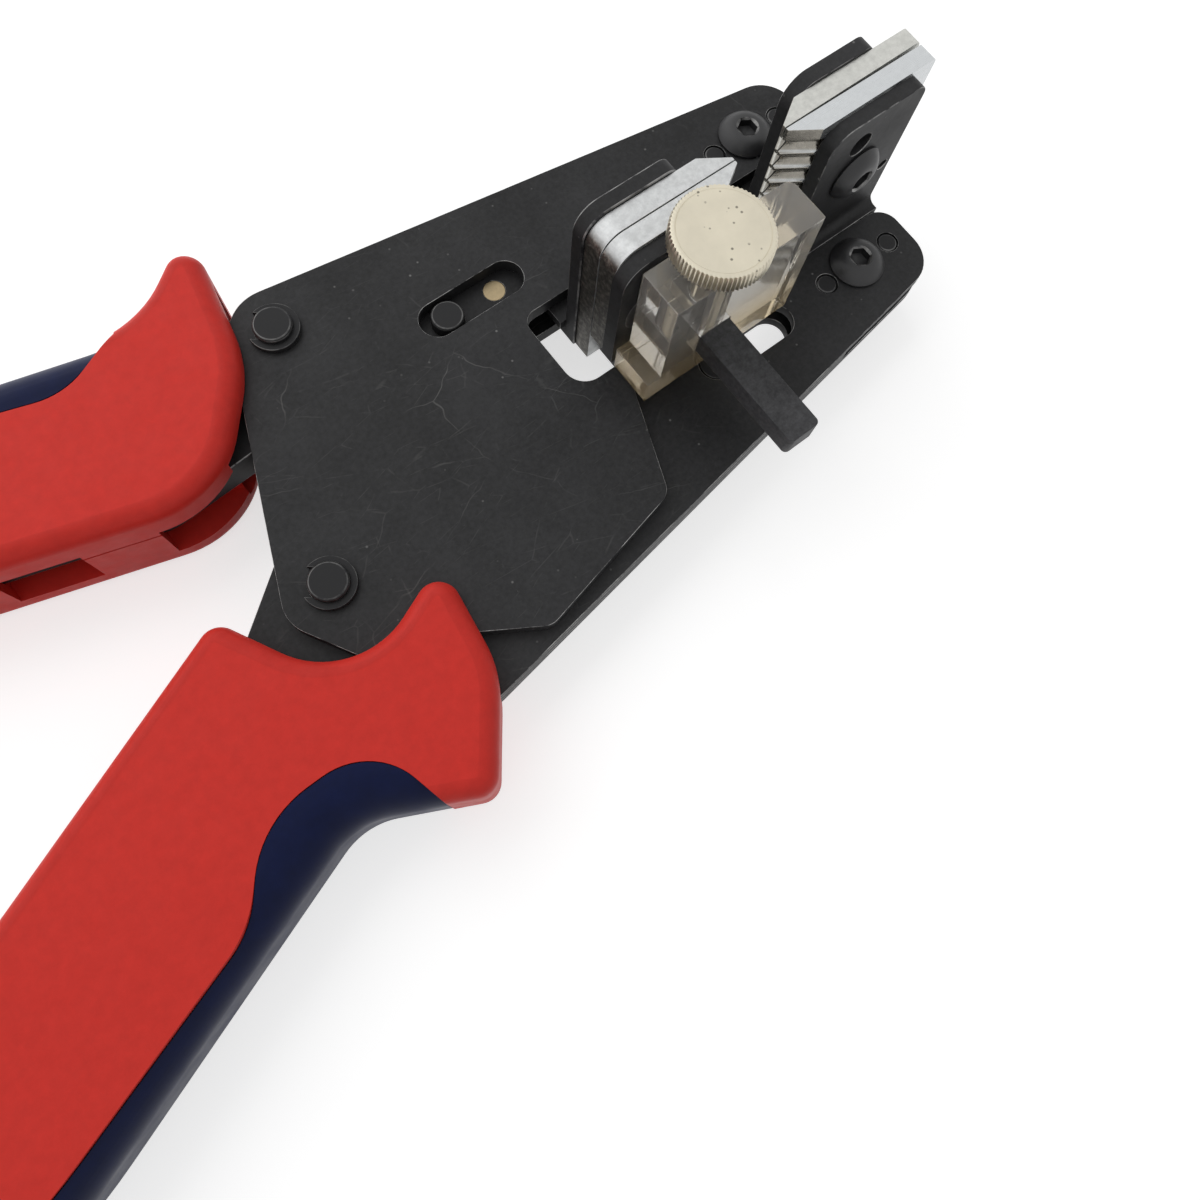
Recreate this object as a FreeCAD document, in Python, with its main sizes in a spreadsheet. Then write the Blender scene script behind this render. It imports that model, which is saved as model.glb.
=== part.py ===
"""Wire stripping pliers lying flat: +X to the jaws, +Y to the clamp lever, +Z up (mm)."""
import FreeCAD
import Part
import math
import os
import Sketcher

SIZES = [
    ("origin_x", -16.763, "middle of the overall length, from the clamp pivot"),
    ("origin_y", -2.490, "middle of the overall width, from the jaw seam"),
    ("nut_height", 3.2, "finger nuts, which lift the frame off the table"),
    ("frame_plate", 2.0, "thickness of each frame plate"),
    ("strip_cheek", 1.4, "thickness of strip lever cheeks and slide plates"),
    ("spacer_plate", 2.0, "thickness of the strip lever spacer"),
    ("side_gap", 0.1, "play between the core and each frame plate"),
    ("slip_gap", 0.05, "play above and below a sliding foot"),
    ("running_gap", 0.05, "radial play of a pivot"),
    ("fit_gap", 0.02, "radial gap round a fixed pin or screw"),
    ("clamp_pivot_x", 0.0, "clamp pivot"),
    ("clamp_pivot_y", 23.6, "clamp pivot"),
    ("strip_pivot_x", -12.9, "strip pivot"),
    ("strip_pivot_y", -8.0, "strip pivot"),
    ("pivot_width", 5.0, "diameter of the pivot pins"),
    ("pivot_stand", 1.6, "pivot pins above and below the frame"),
    ("pin_chamfer", 0.25, "chamfer of pin ends"),
    ("ring_width", 6.6, "outer diameter of the retaining rings"),
    ("ring_height", 0.8, "thickness of the retaining rings"),
    ("ring_bite", 0.45, "depth of the ring groove"),
    ("ring_opening", 3.6, "opening of the retaining rings"),
    ("ring_turn", -38.0, "turn of the retaining ring openings in degrees"),
    ("drive_x", 18.8, "drive pin"),
    ("drive_y", 13.2, "drive pin and slot"),
    ("drive_width", 4.4, "diameter of the drive pin"),
    ("drive_sink", 0.3, "drive pin below the frame faces"),
    ("drive_slot_width", 5.0, "width of the drive slot"),
    ("drive_slot_back", 3.9, "slot end behind the drive pin"),
    ("drive_slot_ahead", 11.6, "slot end ahead of the drive pin"),
    ("rivet_x", 26.4, "brass slide rivet"),
    ("rivet_y", 13.6, "brass slide rivet"),
    ("rivet_width", 3.0, "diameter of the slide and tang rivets"),
    ("slide_rear_x", 12.8, "rear end of the slide plates"),
    ("slide_low_y", 9.6, "lower edge of the slide tongue"),
    ("slide_high_y", 16.8, "upper edge of the slide plates"),
    ("slide_front_x", 46.0, "front end of the slide plates and the far rear foot"),
    ("slide_shoulder", 0.8, "wide part of the slide plate behind the far rear bracket"),
    ("slide_round", 2.0, "rear corners of the slide plates"),
    ("slide_small_round", 1.0, "front corners of the slide plates"),
    ("foot_ledge_y", 11.5, "far rear foot beside the lever finger"),
    ("blade_thickness", 2.5, "blade thickness"),
    ("blade_gap", 0.4, "gap between the far and near blades"),
    ("rear_blade_length", 19.2, "length of the rear blades"),
    ("front_blade_length", 22.1, "length of the front blades"),
    ("rear_blade_round", 3.0, "upper back corner of the rear blades"),
    ("front_blade_round", 0.8, "upper back corner of the front blades"),
    ("blade_bevel", 3.6, "length of the blade bevel"),
    ("blade_land", 0.25, "flat left on the cutting edge"),
    ("blade_top", 31.4, "height of the blade tops"),
    ("blade_lift", 0.2, "blade bottoms above the lower slide plate"),
    ("rear_blade_x", 31.7, "back of the rear blades"),
    ("front_blade_x", 80.7, "back of the front blades"),
    ("groove_first", 2.7, "first wire groove below the blade top"),
    ("groove_pitch", 2.5, "wire groove spacing"),
    ("groove_radius", 1.15, "wire groove radius"),
    ("groove_off", 0.45, "wire groove axis off the bevel face"),
    ("bracket_thickness", 2.0, "jaw bracket thickness"),
    ("far_bracket_rise", 0.4, "far bracket tops above the blade tops"),
    ("near_bracket_drop", 0.4, "near bracket tops below the blade tops"),
    ("bracket_round", 3.2, "rounded upper corner of the brackets"),
    ("bracket_small_round", 1.8, "small upper corner of the brackets"),
    ("rear_bracket_set", 0.3, "rear brackets behind the back of the rear blades"),
    ("rear_bracket_length", 13.6, "length of the rear brackets"),
    ("front_bracket_set", 3.9, "front brackets ahead of the front blade tips"),
    ("far_front_length", 13.0, "length of the far front bracket"),
    ("near_front_length", 15.3, "length of the near front bracket"),
    ("bracket_screw_height", 21.2, "height of the blade screws"),
    ("front_screw_set", 7.2, "blade screw ahead of the rear edge of a front bracket"),
    ("rear_screw_set", 4.6, "blade screw ahead of the rear edge of a rear bracket"),
    ("relief_hole_width", 3.2, "round hole of the near front bracket"),
    ("relief_hole_back", 1.3, "round hole behind the blade screw"),
    ("relief_hole_rise", 5.6, "round hole above the blade screw"),
    ("small_hole_width", 1.5, "small hole of the near front bracket"),
    ("small_hole_set", 1.4, "small hole behind the bracket's front edge"),
    ("small_hole_drop", 3.2, "small hole below the blade screw"),
    ("ledge_round", 1.2, "rounding between the near front bracket and its foot"),
    ("window_upper_margin", 2.5, "jaw channel beside the far brackets"),
    ("window_lower_margin", 0.45, "jaw channel beside the near brackets"),
    ("lower_finger_margin", 1.8, "strip lever edge beside the near brackets"),
    ("window_rear_x", 26.1, "rear end of the jaw channel"),
    ("window_round", 2.0, "corners of the jaw channel beside the far brackets"),
    ("window_rear_round", 3.0, "rear corner of the jaw channel beside the near brackets"),
    ("finger_front_x", 78.0, "front end of the upper finger"),
    ("finger_edge_y", 17.7, "outer edge of the fingers at their front end"),
    ("finger_taper", 0.152, "slope of the outer edges"),
    ("finger_round", 5.0, "outer front corner of the fingers"),
    ("lower_finger_lead", 0.8, "strip lever ahead of the upper finger"),
    ("lower_finger_round", 3.0, "inner front corner of the strip lever"),
    ("upper_screw_x", 68.4, "upper finger screw"),
    ("upper_finger_y", 12.2, "upper finger screw and dowels from the seam"),
    ("lower_screw_x", 69.4, "lower finger screw"),
    ("lower_finger_y", 11.4, "lower finger screw and dowels from the seam"),
    ("dowel_behind", 5.5, "rear dowel behind the finger screw"),
    ("dowel_ahead", 5.9, "front dowel ahead of the finger screw"),
    ("dowel_width", 3.0, "diameter of the dowels"),
    ("dowel_sink", 0.05, "dowels below the finger faces"),
    ("screw_width", 4.0, "diameter of the screws"),
    ("screw_sink", 0.3, "finger screw ends above the table"),
    ("head_width", 7.6, "button head diameter"),
    ("head_height", 2.2, "button head height"),
    ("head_rim", 0.55, "height of the button head rim"),
    ("head_shoulder", 1.6, "height of the button head shoulder"),
    ("head_shoulder_width", 6.4, "button head diameter at its shoulder"),
    ("head_flat", 4.4, "flat top of the button head"),
    ("socket_width", 2.5, "hexagon socket across flats"),
    ("socket_depth", 1.3, "hexagon socket depth"),
    ("sunk_head_width", 6.6, "countersunk head diameter"),
    ("nut_width", 7.0, "nut across flats"),
    ("washer_width", 8.0, "washer under the strip lever"),
    ("foot_gap", 0.4, "free space round the sliding feet"),
    ("front_foot_x", 60.6, "rear end of the front bracket feet"),
    ("front_foot_set", 1.0, "far front foot behind the finger's front end"),
    ("foot_depth", 16.4, "feet reach this far from the seam"),
    ("near_foot_front_x", 48.4, "front end of the near rear foot"),
    ("foot_pocket_set", 3.0, "strip lever pocket behind the rear brackets"),
    ("tongue_set", 3.0, "near rear jaw in the channel, ahead of its bracket's rear edge"),
    ("nose_clear", 0.5, "near rear jaw above the frame nose"),
    ("fork_x", 40.0, "drive fork and peg of the near rear jaw"),
    ("peg_y", -3.5, "peg of the near rear jaw"),
    ("peg_width", 3.0, "peg diameter"),
    ("fork_play", 0.4, "play between peg and fork"),
    ("fork_half", 5.6, "half length of the fork plate"),
    ("fork_end_gap", 0.4, "fork plate to strip lever"),
    ("guide_x", 44.0, "guide pin of the near rear jaw"),
    ("guide_y", 11.7, "guide pin and slot from the seam"),
    ("guide_width", 4.6, "diameter of the guide pin"),
    ("guide_slot_width", 5.0, "width of the strip lever slot"),
    ("guide_slot_back", 0.1, "slot end circle behind the guide pin"),
    ("guide_slot_ahead", 10.3, "slot end circle ahead of the guide pin"),
    ("spring_width", 4.2, "outer diameter of the return spring"),
    ("spring_wire", 0.55, "wire of the return spring"),
    ("spring_pitch", 2.4, "pitch of the return spring"),
    ("post_x", 14.0, "spring post"),
    ("post_y", -13.2, "spring post"),
    ("post_width", 4.0, "diameter of the spring post"),
    ("post_swing", 4.3, "way of the post across the strip lever"),
    ("post_drift", 0.45, "way of the post along the strip lever"),
    ("bay_room", 0.9, "spring bay above the post's way"),
    ("bay_ahead", 1.5, "spring bay ahead of the post"),
    ("leaf_thickness", 0.7, "leaf spring thickness"),
    ("leaf_root_x", -4.0, "leaf spring root"),
    ("leaf_seat", 5.0, "leaf spring root held in the spacer"),
    ("leaf_clear", 0.3, "free space beside the leaf spring"),
    ("tang_rivet_x", -36.0, "front tang rivet"),
    ("tang_rivet_y", -21.5, "front tang rivet"),
    ("tang_rivet_run", 34.0, "tang rivet spacing along the length"),
    ("tang_rivet_drop", 14.2, "tang rivet spacing across the length"),
    ("bar_x", 41.4, "middle of the stop bar"),
    ("bar_width", 4.6, "width of the stop bar"),
    ("bar_low", 17.2, "underside of the stop bar"),
    ("bar_height", 3.2, "height of the stop bar"),
    ("bar_end_y", -28.2, "free end of the stop bar"),
    ("bar_round", 0.7, "rounding of the stop bar end"),
    ("bar_tenon", 2.6, "diameter of the stop bar tenon"),
    ("block_lift", 0.3, "stop block above the frame"),
    ("block_height", 17.9, "height of the stop block"),
    ("block_rear_x", 33.6, "rear face of the stop block"),
    ("block_front_x", 55.4, "front face of the stop block"),
    ("block_foot", 2.0, "foot of the stop block behind its rear face"),
    ("block_foot_height", 4.0, "height of the stop block foot"),
    ("block_gap", 0.35, "stop block to near rear bracket"),
    ("block_depth", 6.2, "depth of the stop block"),
    ("block_round", 1.2, "rounded corner of the stop block"),
    ("bar_play", 0.15, "play of the stop block on the bar"),
    ("knob_width", 11.9, "thumb screw knob diameter"),
    ("knob_height", 2.6, "thumb screw knob height"),
    ("knob_neck", 2.3, "thumb screw neck height"),
    ("knob_neck_width", 6.0, "thumb screw neck diameter"),
    ("grip_round", 2.2, "rounded edges of the grip shells"),
    ("inlay_round", 5.0, "rounded edges of the inlays"),
    ("cavity_gap", 0.3, "grip shells above and below the frame"),
    ("tang_gap", 0.1, "grip round a tang"),
    ("tang_room", 0.75, "free space at the hollow corners of the strip lever tang"),
    ("hub_room", 8.0, "grip pocket below the lever hub"),
    ("belly_room", 1.0, "grip pocket below the lever belly"),
    ("inlay_seam", 0.12, "seam round the inlays"),
    ("inlay_front_lean", 4.0, "lean of the inlays' front edges"),
    ("inlay_end_lean", 2.0, "lean of the inlays' rear edges"),
    ("inlay_lead", 7.7, "form of the lower inlay ahead of the guard"),
    ("mouth_lead", 4.0, "open part of the inner wall ahead of the throat"),
    ("mouth_end_x", -25.4, "rear end of the open part of the inner wall"),
    ("wall_window_x", -34.2, "front end of the first window in the inner wall"),
    ("wall_window_length", 9.7, "length of a window in the inner wall"),
    ("wall_window_pitch", 18.1, "spacing of the windows in the inner wall"),
    ("wall_window_depth", 6.0, "depth of the windows in the inner wall"),
    ("wall_window_low", 3.6, "lower lip of the windows"),
    ("wall_window_high", 10.6, "upper edge of the windows"),
    ("parting_low", 9.5, "underside of the parting groove"),
    ("parting_height", 0.25, "width of the parting groove"),
    ("parting_depth", 0.6, "depth of the parting groove"),
    ("finger_rib", 4.0, "half width of the lever finger"),
    ("lever_overlap", 9.0, "lever finger beyond the drive pin"),
    ("lever_face_gap", 0.35, "lever finger to drive pin"),
]

# corner name, x, y, corner radius
CORNERS = [
    ("frame_rear", -3.4, 30.0, 6.0),
    ("frame_nose", 33.3, 0.0, 1.2),
    ("frame_right", 26.5, -22.75, 2.5),
    ("frame_bottom", 4.9, -27.5, 2.5),
    ("frame_hidden", -3.5, -22.3, 4.0),
    ("frame_tail", -13.4, -19.9, 3.0),
    ("frame_left", -19.65, -8.9, 5.0),
    ("strip_heel", -6.0, -30.6, 6.0),
    ("strip_waist", -24.0, -23.0, 8.0),
    ("strip_tang_low", -85.0, -46.0, 2.0),
    ("strip_tang_high", -82.0, -37.0, 2.0),
    ("strip_tang_root", -30.5, -14.5, 5.0),
    ("strip_back", -25.0, -7.6, 2.0),
    ("strip_crown", -13.5, 1.2, 6.0),
    ("strip_inner", 24.0, 0.0, 3.0),
    ("lever_hub_top", 5.4, 29.2, 5.5),
    ("lever_hub_low", 5.4, 17.8, 5.0),
    ("lever_belly", -10.0, 12.4, 5.0),
    ("lever_inner", -24.0, 11.6, 8.0),
    ("lever_tang_low", -86.0, 30.0, 2.0),
    ("lever_tang_high", -88.0, 38.6, 2.0),
    ("lever_back", -24.0, 29.6, 8.0),
    ("upper_horn", -1.1, 41.3, 2.5),
    ("upper_front", -5.3, 21.0, 18.0),
    ("upper_throat", -17.2, 7.3, 13.0),
    ("upper_inner", -82.0, 26.9, 60.0),
    ("upper_end_inner", -113.6, 32.8, 7.0),
    ("upper_end_outer", -114.9, 50.3, 8.0),
    ("upper_outer", -72.0, 46.6, 60.0),
    ("upper_neck", -13.7, 32.1, 14.0),
    ("lower_peak", -25.7, -4.3, 2.4),
    ("lower_valley", -17.3, -20.4, 10.3),
    ("lower_horn", -1.1, -13.5, 2.6),
    ("lower_front", -3.2, -28.3, 14.0),
    ("lower_guard", -11.7, -39.5, 2.6),
    ("lower_neck", -26.0, -32.2, 9.0),
    ("lower_outer", -70.0, -48.1, 60.0),
    ("lower_end_outer", -114.9, -56.2, 8.0),
    ("lower_end_inner", -113.6, -37.6, 7.0),
    ("lower_inner", -86.0, -29.5, 60.0),
    ("upper_inlay_front", -16.0, 32.3, 0.0),
    ("upper_inlay_step", -24.6, 28.3, 9.0),
    ("upper_inlay_rear", -72.0, 43.0, 40.0),
    ("upper_inlay_end", -104.0, 46.6, 4.0),
    ("lower_inlay_front", -16.4, -38.6, 0.0),
    ("lower_inlay_lip", -19.2, -26.5, 8.0),
    ("lower_inlay_top", -33.2, -26.5, 12.0),
    ("lower_inlay_step", -40.0, -35.0, 12.0),
    ("lower_inlay_rear", -68.0, -44.4, 60.0),
    ("lower_inlay_end", -104.0, -51.6, 4.0),
]

# places from the clamp pivot
UPPER_CAVITY = [
    ("upper_cavity_mouth", 3.0, -16.0, 0.0),
    ("upper_cavity_throat", -14.0, -16.0, 0.0),
    ("upper_cavity_belly", -14.5, -9.0, 0.0),
    ("upper_cavity_hub", -9.0, 2.0, 0.0),
    ("upper_cavity_back", -6.5, 9.5, 0.0),
    ("upper_cavity_horn", 3.0, 9.5, 0.0),
]

# places from the strip pivot
LOWER_CAVITY = [
    ("lower_cavity_peak", -9.5, 8.0, 0.0),
    ("lower_cavity_left", -9.0, -6.0, 0.0),
    ("lower_cavity_tail", -4.5, -12.6, 0.0),
    ("lower_cavity_bend", -0.5, -14.6, 0.0),
    ("lower_cavity_bottom", 13.0, -20.5, 0.0),
    ("lower_cavity_mouth", 20.0, -20.5, 0.0),
    ("lower_cavity_horn", 20.0, 8.0, 0.0),
]

GROOVES = 8
WALL_WINDOWS = 3
# cutting outlines reach this far past a surface
BEYOND = 1.0


class Size:
    """A number together with the sheet expression that gives it."""

    def __init__(self, value, text):
        self.value = value
        self.text = text

    def __add__(self, other):
        other = sized(other)
        return Size(self.value + other.value, "(%s + %s)" % (self.text, other.text))

    def __sub__(self, other):
        other = sized(other)
        return Size(self.value - other.value, "(%s - %s)" % (self.text, other.text))

    def __mul__(self, factor):
        factor = sized(factor)
        return Size(self.value * factor.value, "(%s * %s)" % (self.text, factor.text))

    def __truediv__(self, divisor):
        divisor = sized(divisor)
        return Size(self.value / divisor.value, "(%s / %s)" % (self.text, divisor.text))

    def __neg__(self):
        return Size(-self.value, "(0 - %s)" % self.text)

    def root(self):
        return Size(math.sqrt(self.value), "sqrt(%s)" % self.text)


def sized(number):
    """Give a plain number the same form as a sheet value."""
    if isinstance(number, Size):
        return number
    return Size(float(number), "(%.6f)" % number)


doc = FreeCAD.newDocument("WireStripper")
sheet = doc.addObject("Spreadsheet::Sheet", "Sizes")
S = {}


def write_sheet():
    """Fill the sheet with every named size and corner."""
    rows = [(name, value, note) for name, value, note in SIZES]
    for name, x, y, radius in CORNERS + UPPER_CAVITY + LOWER_CAVITY:
        rows.append((name + "_x", x, "outline corner"))
        rows.append((name + "_y", y, "outline corner"))
        rows.append((name + "_r", radius, "outline corner radius"))
    for row, (name, value, note) in enumerate(rows, start=1):
        sheet.set("A%d" % row, note)
        sheet.set("B%d" % row, "%r" % value)
        sheet.setAlias("B%d" % row, name)
        S[name] = Size(value, "Sizes." + name)
    doc.recompute()


write_sheet()
nodes = []


def corner(name):
    return (S[name + "_x"], S[name + "_y"], S[name + "_r"])


def bind(thing, path, size):
    """Tie one property of an object to the sheet."""
    thing.setExpression(path, sized(size).text)


def place(thing, x=0, y=0, z=0, turn=None):
    """Put an object at a point of the tool, moved to the shared origin."""
    if turn is not None:
        thing.Placement.Rotation = turn
    bind(thing, "Placement.Base.x", sized(x) - S["origin_x"])
    bind(thing, "Placement.Base.y", sized(y) - S["origin_y"])
    bind(thing, "Placement.Base.z", sized(z))


def new_body(label, x=0, y=0, z=0, turn=None):
    body = doc.addObject("PartDesign::Body", label)
    body.Label = label
    place(body, x, y, z, turn)
    return body


def sketch_on(body, role, level):
    """Start a sketch on an origin plane, lifted along the plane's normal."""
    sketch = body.newObject("Sketcher::SketchObject", body.Label + "_sketch")
    plane = [item for item in body.Origin.OriginFeatures if item.Role == role][0]
    sketch.AttachmentSupport = [(plane, "")]
    sketch.MapMode = "FlatFace"
    bind(sketch, "AttachmentOffset.Base.z", level)
    return sketch


def pin_point(sketch, geometry, point, x, y):
    """Tie one sketch point to two sheet values."""
    across = sketch.addConstraint(Sketcher.Constraint("DistanceX", geometry, point, sized(x).value))
    bind(sketch, "Constraints[%d]" % across, x)
    up = sketch.addConstraint(Sketcher.Constraint("DistanceY", geometry, point, sized(y).value))
    bind(sketch, "Constraints[%d]" % up, y)


def draw_outline(sketch, corners):
    """Draw a closed outline through the corners."""
    flat = [FreeCAD.Vector(sized(c[0]).value, sized(c[1]).value, 0) for c in corners]
    first = sketch.GeometryCount
    count = len(flat)
    for i in range(count):
        sketch.addGeometry(Part.LineSegment(flat[i], flat[(i + 1) % count]))
    for i in range(count):
        follower = first + (i + 1) % count
        sketch.addConstraint(Sketcher.Constraint("Coincident", first + i, 2, follower, 1))
    for i in range(count):
        pin_point(sketch, first + i, 1, corners[i][0], corners[i][1])


def draw_circle(sketch, x, y, radius):
    centre = FreeCAD.Vector(sized(x).value, sized(y).value, 0)
    circle = Part.Circle(centre, FreeCAD.Vector(0, 0, 1), sized(radius).value)
    item = sketch.addGeometry(circle)
    pin_point(sketch, item, 3, x, y)
    rule = sketch.addConstraint(Sketcher.Constraint("Radius", item, sized(radius).value))
    bind(sketch, "Constraints[%d]" % rule, radius)


def pad(body, sketch, length):
    feature = body.newObject("PartDesign::Pad", body.Label + "_pad")
    feature.Profile = sketch
    bind(feature, "Length", length)
    doc.recompute()
    return feature


def pocket(body, sketch, depth=None):
    """Cut a sketch out, right through both ways or down to a depth."""
    feature = body.newObject("PartDesign::Pocket", body.Label + "_pocket")
    feature.Profile = sketch
    if depth is None:
        feature.Type = "ThroughAll"
        feature.Midplane = True
    else:
        bind(feature, "Length", depth)
    doc.recompute()
    return feature


def fillet_edges(body, chosen, radius):
    """Round the edges of the body's last feature that the test picks."""
    base = body.Tip
    names = ["Edge%d" % i for i, edge in enumerate(base.Shape.Edges, start=1) if chosen(edge)]
    feature = body.newObject("PartDesign::Fillet", body.Label + "_fillet")
    feature.Base = (base, names)
    bind(feature, "Radius", radius)
    doc.recompute()


def stands_at(edge, axis, place_values):
    """Say whether a straight edge runs along an axis through the given place."""
    ends = [vertex.Point for vertex in edge.Vertexes]
    if len(ends) != 2 or edge.Curve.TypeId != "Part::GeomLine":
        return False
    across = [i for i in range(3) if i != axis]
    for point in ends:
        for i, wanted in zip(across, place_values):
            if abs(point[i] - wanted) > 1e-4:
                return False
    return True


def round_corners(body, corners, axis=2):
    """Round the outline corners of a pad, one fillet for each radius."""
    groups = {}
    for item in corners:
        if len(item) == 3 and sized(item[2]).value > 0:
            groups.setdefault(sized(item[2]).text, []).append(item)
    for alike in groups.values():
        spots = [(sized(x).value, sized(y).value) for x, y, radius in alike]
        fillet_edges(body, lambda edge: any(stands_at(edge, axis, spot) for spot in spots), alike[0][2])


def plate(label, corners, low, thickness):
    """Make a flat plate with rounded corners."""
    body = new_body(label)
    sketch = sketch_on(body, "XY_Plane", low)
    draw_outline(sketch, corners)
    pad(body, sketch, thickness)
    round_corners(body, corners)
    return body


def cut_circles(body, circles, role="XY_Plane"):
    """Cut round holes (x, y, radius) right through."""
    sketch = sketch_on(body, role, 0)
    for x, y, radius in circles:
        draw_circle(sketch, x, y, radius)
    pocket(body, sketch)


def cut_outline(body, corners, role="XY_Plane"):
    """Cut an outline right through."""
    sketch = sketch_on(body, role, 0)
    draw_outline(sketch, corners)
    pocket(body, sketch)


def cut_slot(body, start, end, width):
    """Cut a round-ended slot between two end circle centres right through."""
    sketch = sketch_on(body, "XY_Plane", 0)
    x1, y1, x2, y2 = [sized(value).value for value in start + end]
    radius = sized(width).value / 2
    lean = math.atan2(y2 - y1, x2 - x1)
    side = FreeCAD.Vector(-math.sin(lean), math.cos(lean), 0) * radius
    a = FreeCAD.Vector(x1, y1, 0)
    b = FreeCAD.Vector(x2, y2, 0)
    up = FreeCAD.Vector(0, 0, 1)
    quarter = math.pi / 2
    sketch.addGeometry(Part.ArcOfCircle(Part.Circle(b, up, radius), lean - quarter, lean + quarter))
    sketch.addGeometry(Part.ArcOfCircle(Part.Circle(a, up, radius), lean + quarter, lean + 3 * quarter))
    sketch.addGeometry(Part.LineSegment(a - side, b - side))
    sketch.addGeometry(Part.LineSegment(b + side, a + side))
    for one, two in [((2, 2), (0, 1)), ((0, 2), (3, 1)), ((3, 2), (1, 1)), ((1, 2), (2, 1))]:
        sketch.addConstraint(Sketcher.Constraint("Tangent", one[0], one[1], two[0], two[1]))
    pin_point(sketch, 0, 3, end[0], end[1])
    pin_point(sketch, 1, 3, start[0], start[1])
    rule = sketch.addConstraint(Sketcher.Constraint("Radius", 0, radius))
    bind(sketch, "Constraints[%d]" % rule, sized(width) / 2)
    pocket(body, sketch)


def cut_pocket(body, corners, high, depth):
    """Cut an outline from a level downwards."""
    sketch = sketch_on(body, "XY_Plane", high)
    draw_outline(sketch, corners)
    pocket(body, sketch, depth)


def box_corners(x1, x2, y1, y2):
    return [(x1, y1), (x2, y1), (x2, y2), (x1, y2)]


def turned(label, profile, x, y, z=0, turn=None):
    """Turn a half profile (radius, height) round a vertical axis."""
    body = new_body(label, x, y, z, turn)
    sketch = sketch_on(body, "XZ_Plane", 0)
    draw_outline(sketch, profile)
    feature = body.newObject("PartDesign::Revolution", label + "_turn")
    feature.Profile = sketch
    feature.ReferenceAxis = (sketch, ["V_Axis"])
    feature.Angle = 360
    doc.recompute()
    return body


def cut_hexagon(body, across, high, depth):
    """Sink a hexagon socket from a level."""
    reach = sized(across) / math.sqrt(3)
    turns = [math.radians(60 * i) for i in range(6)]
    cut_pocket(body, [(reach * math.cos(t), reach * math.sin(t)) for t in turns], high, depth)


def keep(thing):
    """Hand a finished piece in."""
    nodes.append(thing)
    return thing


def group(label, members):
    """Join separate solids of one kind under one label."""
    bundle = doc.addObject("Part::Compound", label)
    bundle.Label = label
    bundle.Links = members
    doc.recompute()
    return keep(bundle)


# heights of the stack
frame_low = S["nut_height"]
core_low = frame_low + S["frame_plate"]
core_height = S["strip_cheek"] * 2 + S["spacer_plate"] + S["side_gap"] * 2
core_high = core_low + core_height
frame_high = core_high + S["frame_plate"]
moving_low = core_low + S["side_gap"]
mid_low = moving_low + S["strip_cheek"]
mid_high = mid_low + S["spacer_plate"]
moving_high = mid_high + S["strip_cheek"]
moving_height = S["strip_cheek"] * 2 + S["spacer_plate"]
grip_height = frame_low * 2 + S["frame_plate"] * 2 + core_height
blade_low = mid_low + S["blade_lift"]
far_top = S["blade_top"] + S["far_bracket_rise"]
near_top = S["blade_top"] - S["near_bracket_drop"]

# places across the jaws
seam = S["blade_gap"] / 2
blade_back = seam + S["blade_thickness"]
bracket_back = blade_back + S["bracket_thickness"]
window_upper = bracket_back + S["window_upper_margin"]
window_lower = -(bracket_back + S["window_lower_margin"])
lower_inner = -(bracket_back + S["lower_finger_margin"])

# places along the jaws
rear_tip = S["rear_blade_x"] + S["rear_blade_length"]
front_tip = S["front_blade_x"] - S["front_blade_length"]
rear_bracket_x = S["rear_blade_x"] - S["rear_bracket_set"]
front_bracket_x = front_tip + S["front_bracket_set"]
tongue_x = rear_bracket_x + S["tongue_set"]
strip_front_x = S["finger_front_x"] + S["lower_finger_lead"]

# holes and pivots
pivot_hole = S["pivot_width"] / 2 + S["fit_gap"]
screw_hole = S["screw_width"] / 2 + S["fit_gap"]
dowel_hole = S["dowel_width"] / 2 + S["fit_gap"]
clamp_pivot = (S["clamp_pivot_x"], S["clamp_pivot_y"])
strip_pivot = (S["strip_pivot_x"], S["strip_pivot_y"])


def taper_edge(x):
    """Distance of the outer finger edge from the seam."""
    return S["finger_edge_y"] + (S["finger_front_x"] - x) * S["finger_taper"]


def finger_place(side):
    """Screw of the finger on the far (1) or near (-1) side."""
    name = "upper" if side > 0 else "lower"
    return S[name + "_screw_x"], S[name + "_finger_y"] * side


def finger_holes(side):
    """Screw and dowel holes of a finger."""
    x, y = finger_place(side)
    return [
        (x, y, screw_hole),
        (x - S["dowel_behind"], y, dowel_hole),
        (x + S["dowel_ahead"], y, dowel_hole),
    ]


def frame_plate(label, low):
    """One of the two equal frame plates."""
    rear_x, rear_y, rear_r = corner("frame_rear")
    corners = [
        (rear_x, taper_edge(rear_x), rear_r),
        (S["finger_front_x"], S["finger_edge_y"], S["finger_round"]),
        (S["finger_front_x"], window_upper, S["window_round"]),
        (S["window_rear_x"], window_upper, S["window_round"]),
        (S["window_rear_x"], window_lower, S["window_rear_round"]),
        (S["frame_nose_x"], window_lower, S["frame_nose_r"]),
        corner("frame_right"),
        corner("frame_bottom"),
        corner("frame_hidden"),
        corner("frame_tail"),
        corner("frame_left"),
    ]
    body = plate(label, corners, low, S["frame_plate"])
    pivots = [clamp_pivot + (pivot_hole,), strip_pivot + (pivot_hole,)]
    cut_circles(body, pivots + finger_holes(1))
    half = S["drive_slot_width"] / 2
    start = (S["drive_x"] - S["drive_slot_back"] + half, S["drive_y"])
    end = (S["drive_x"] + S["drive_slot_ahead"] - half, S["drive_y"])
    cut_slot(body, start, end, S["drive_slot_width"])
    return keep(body)


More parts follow.
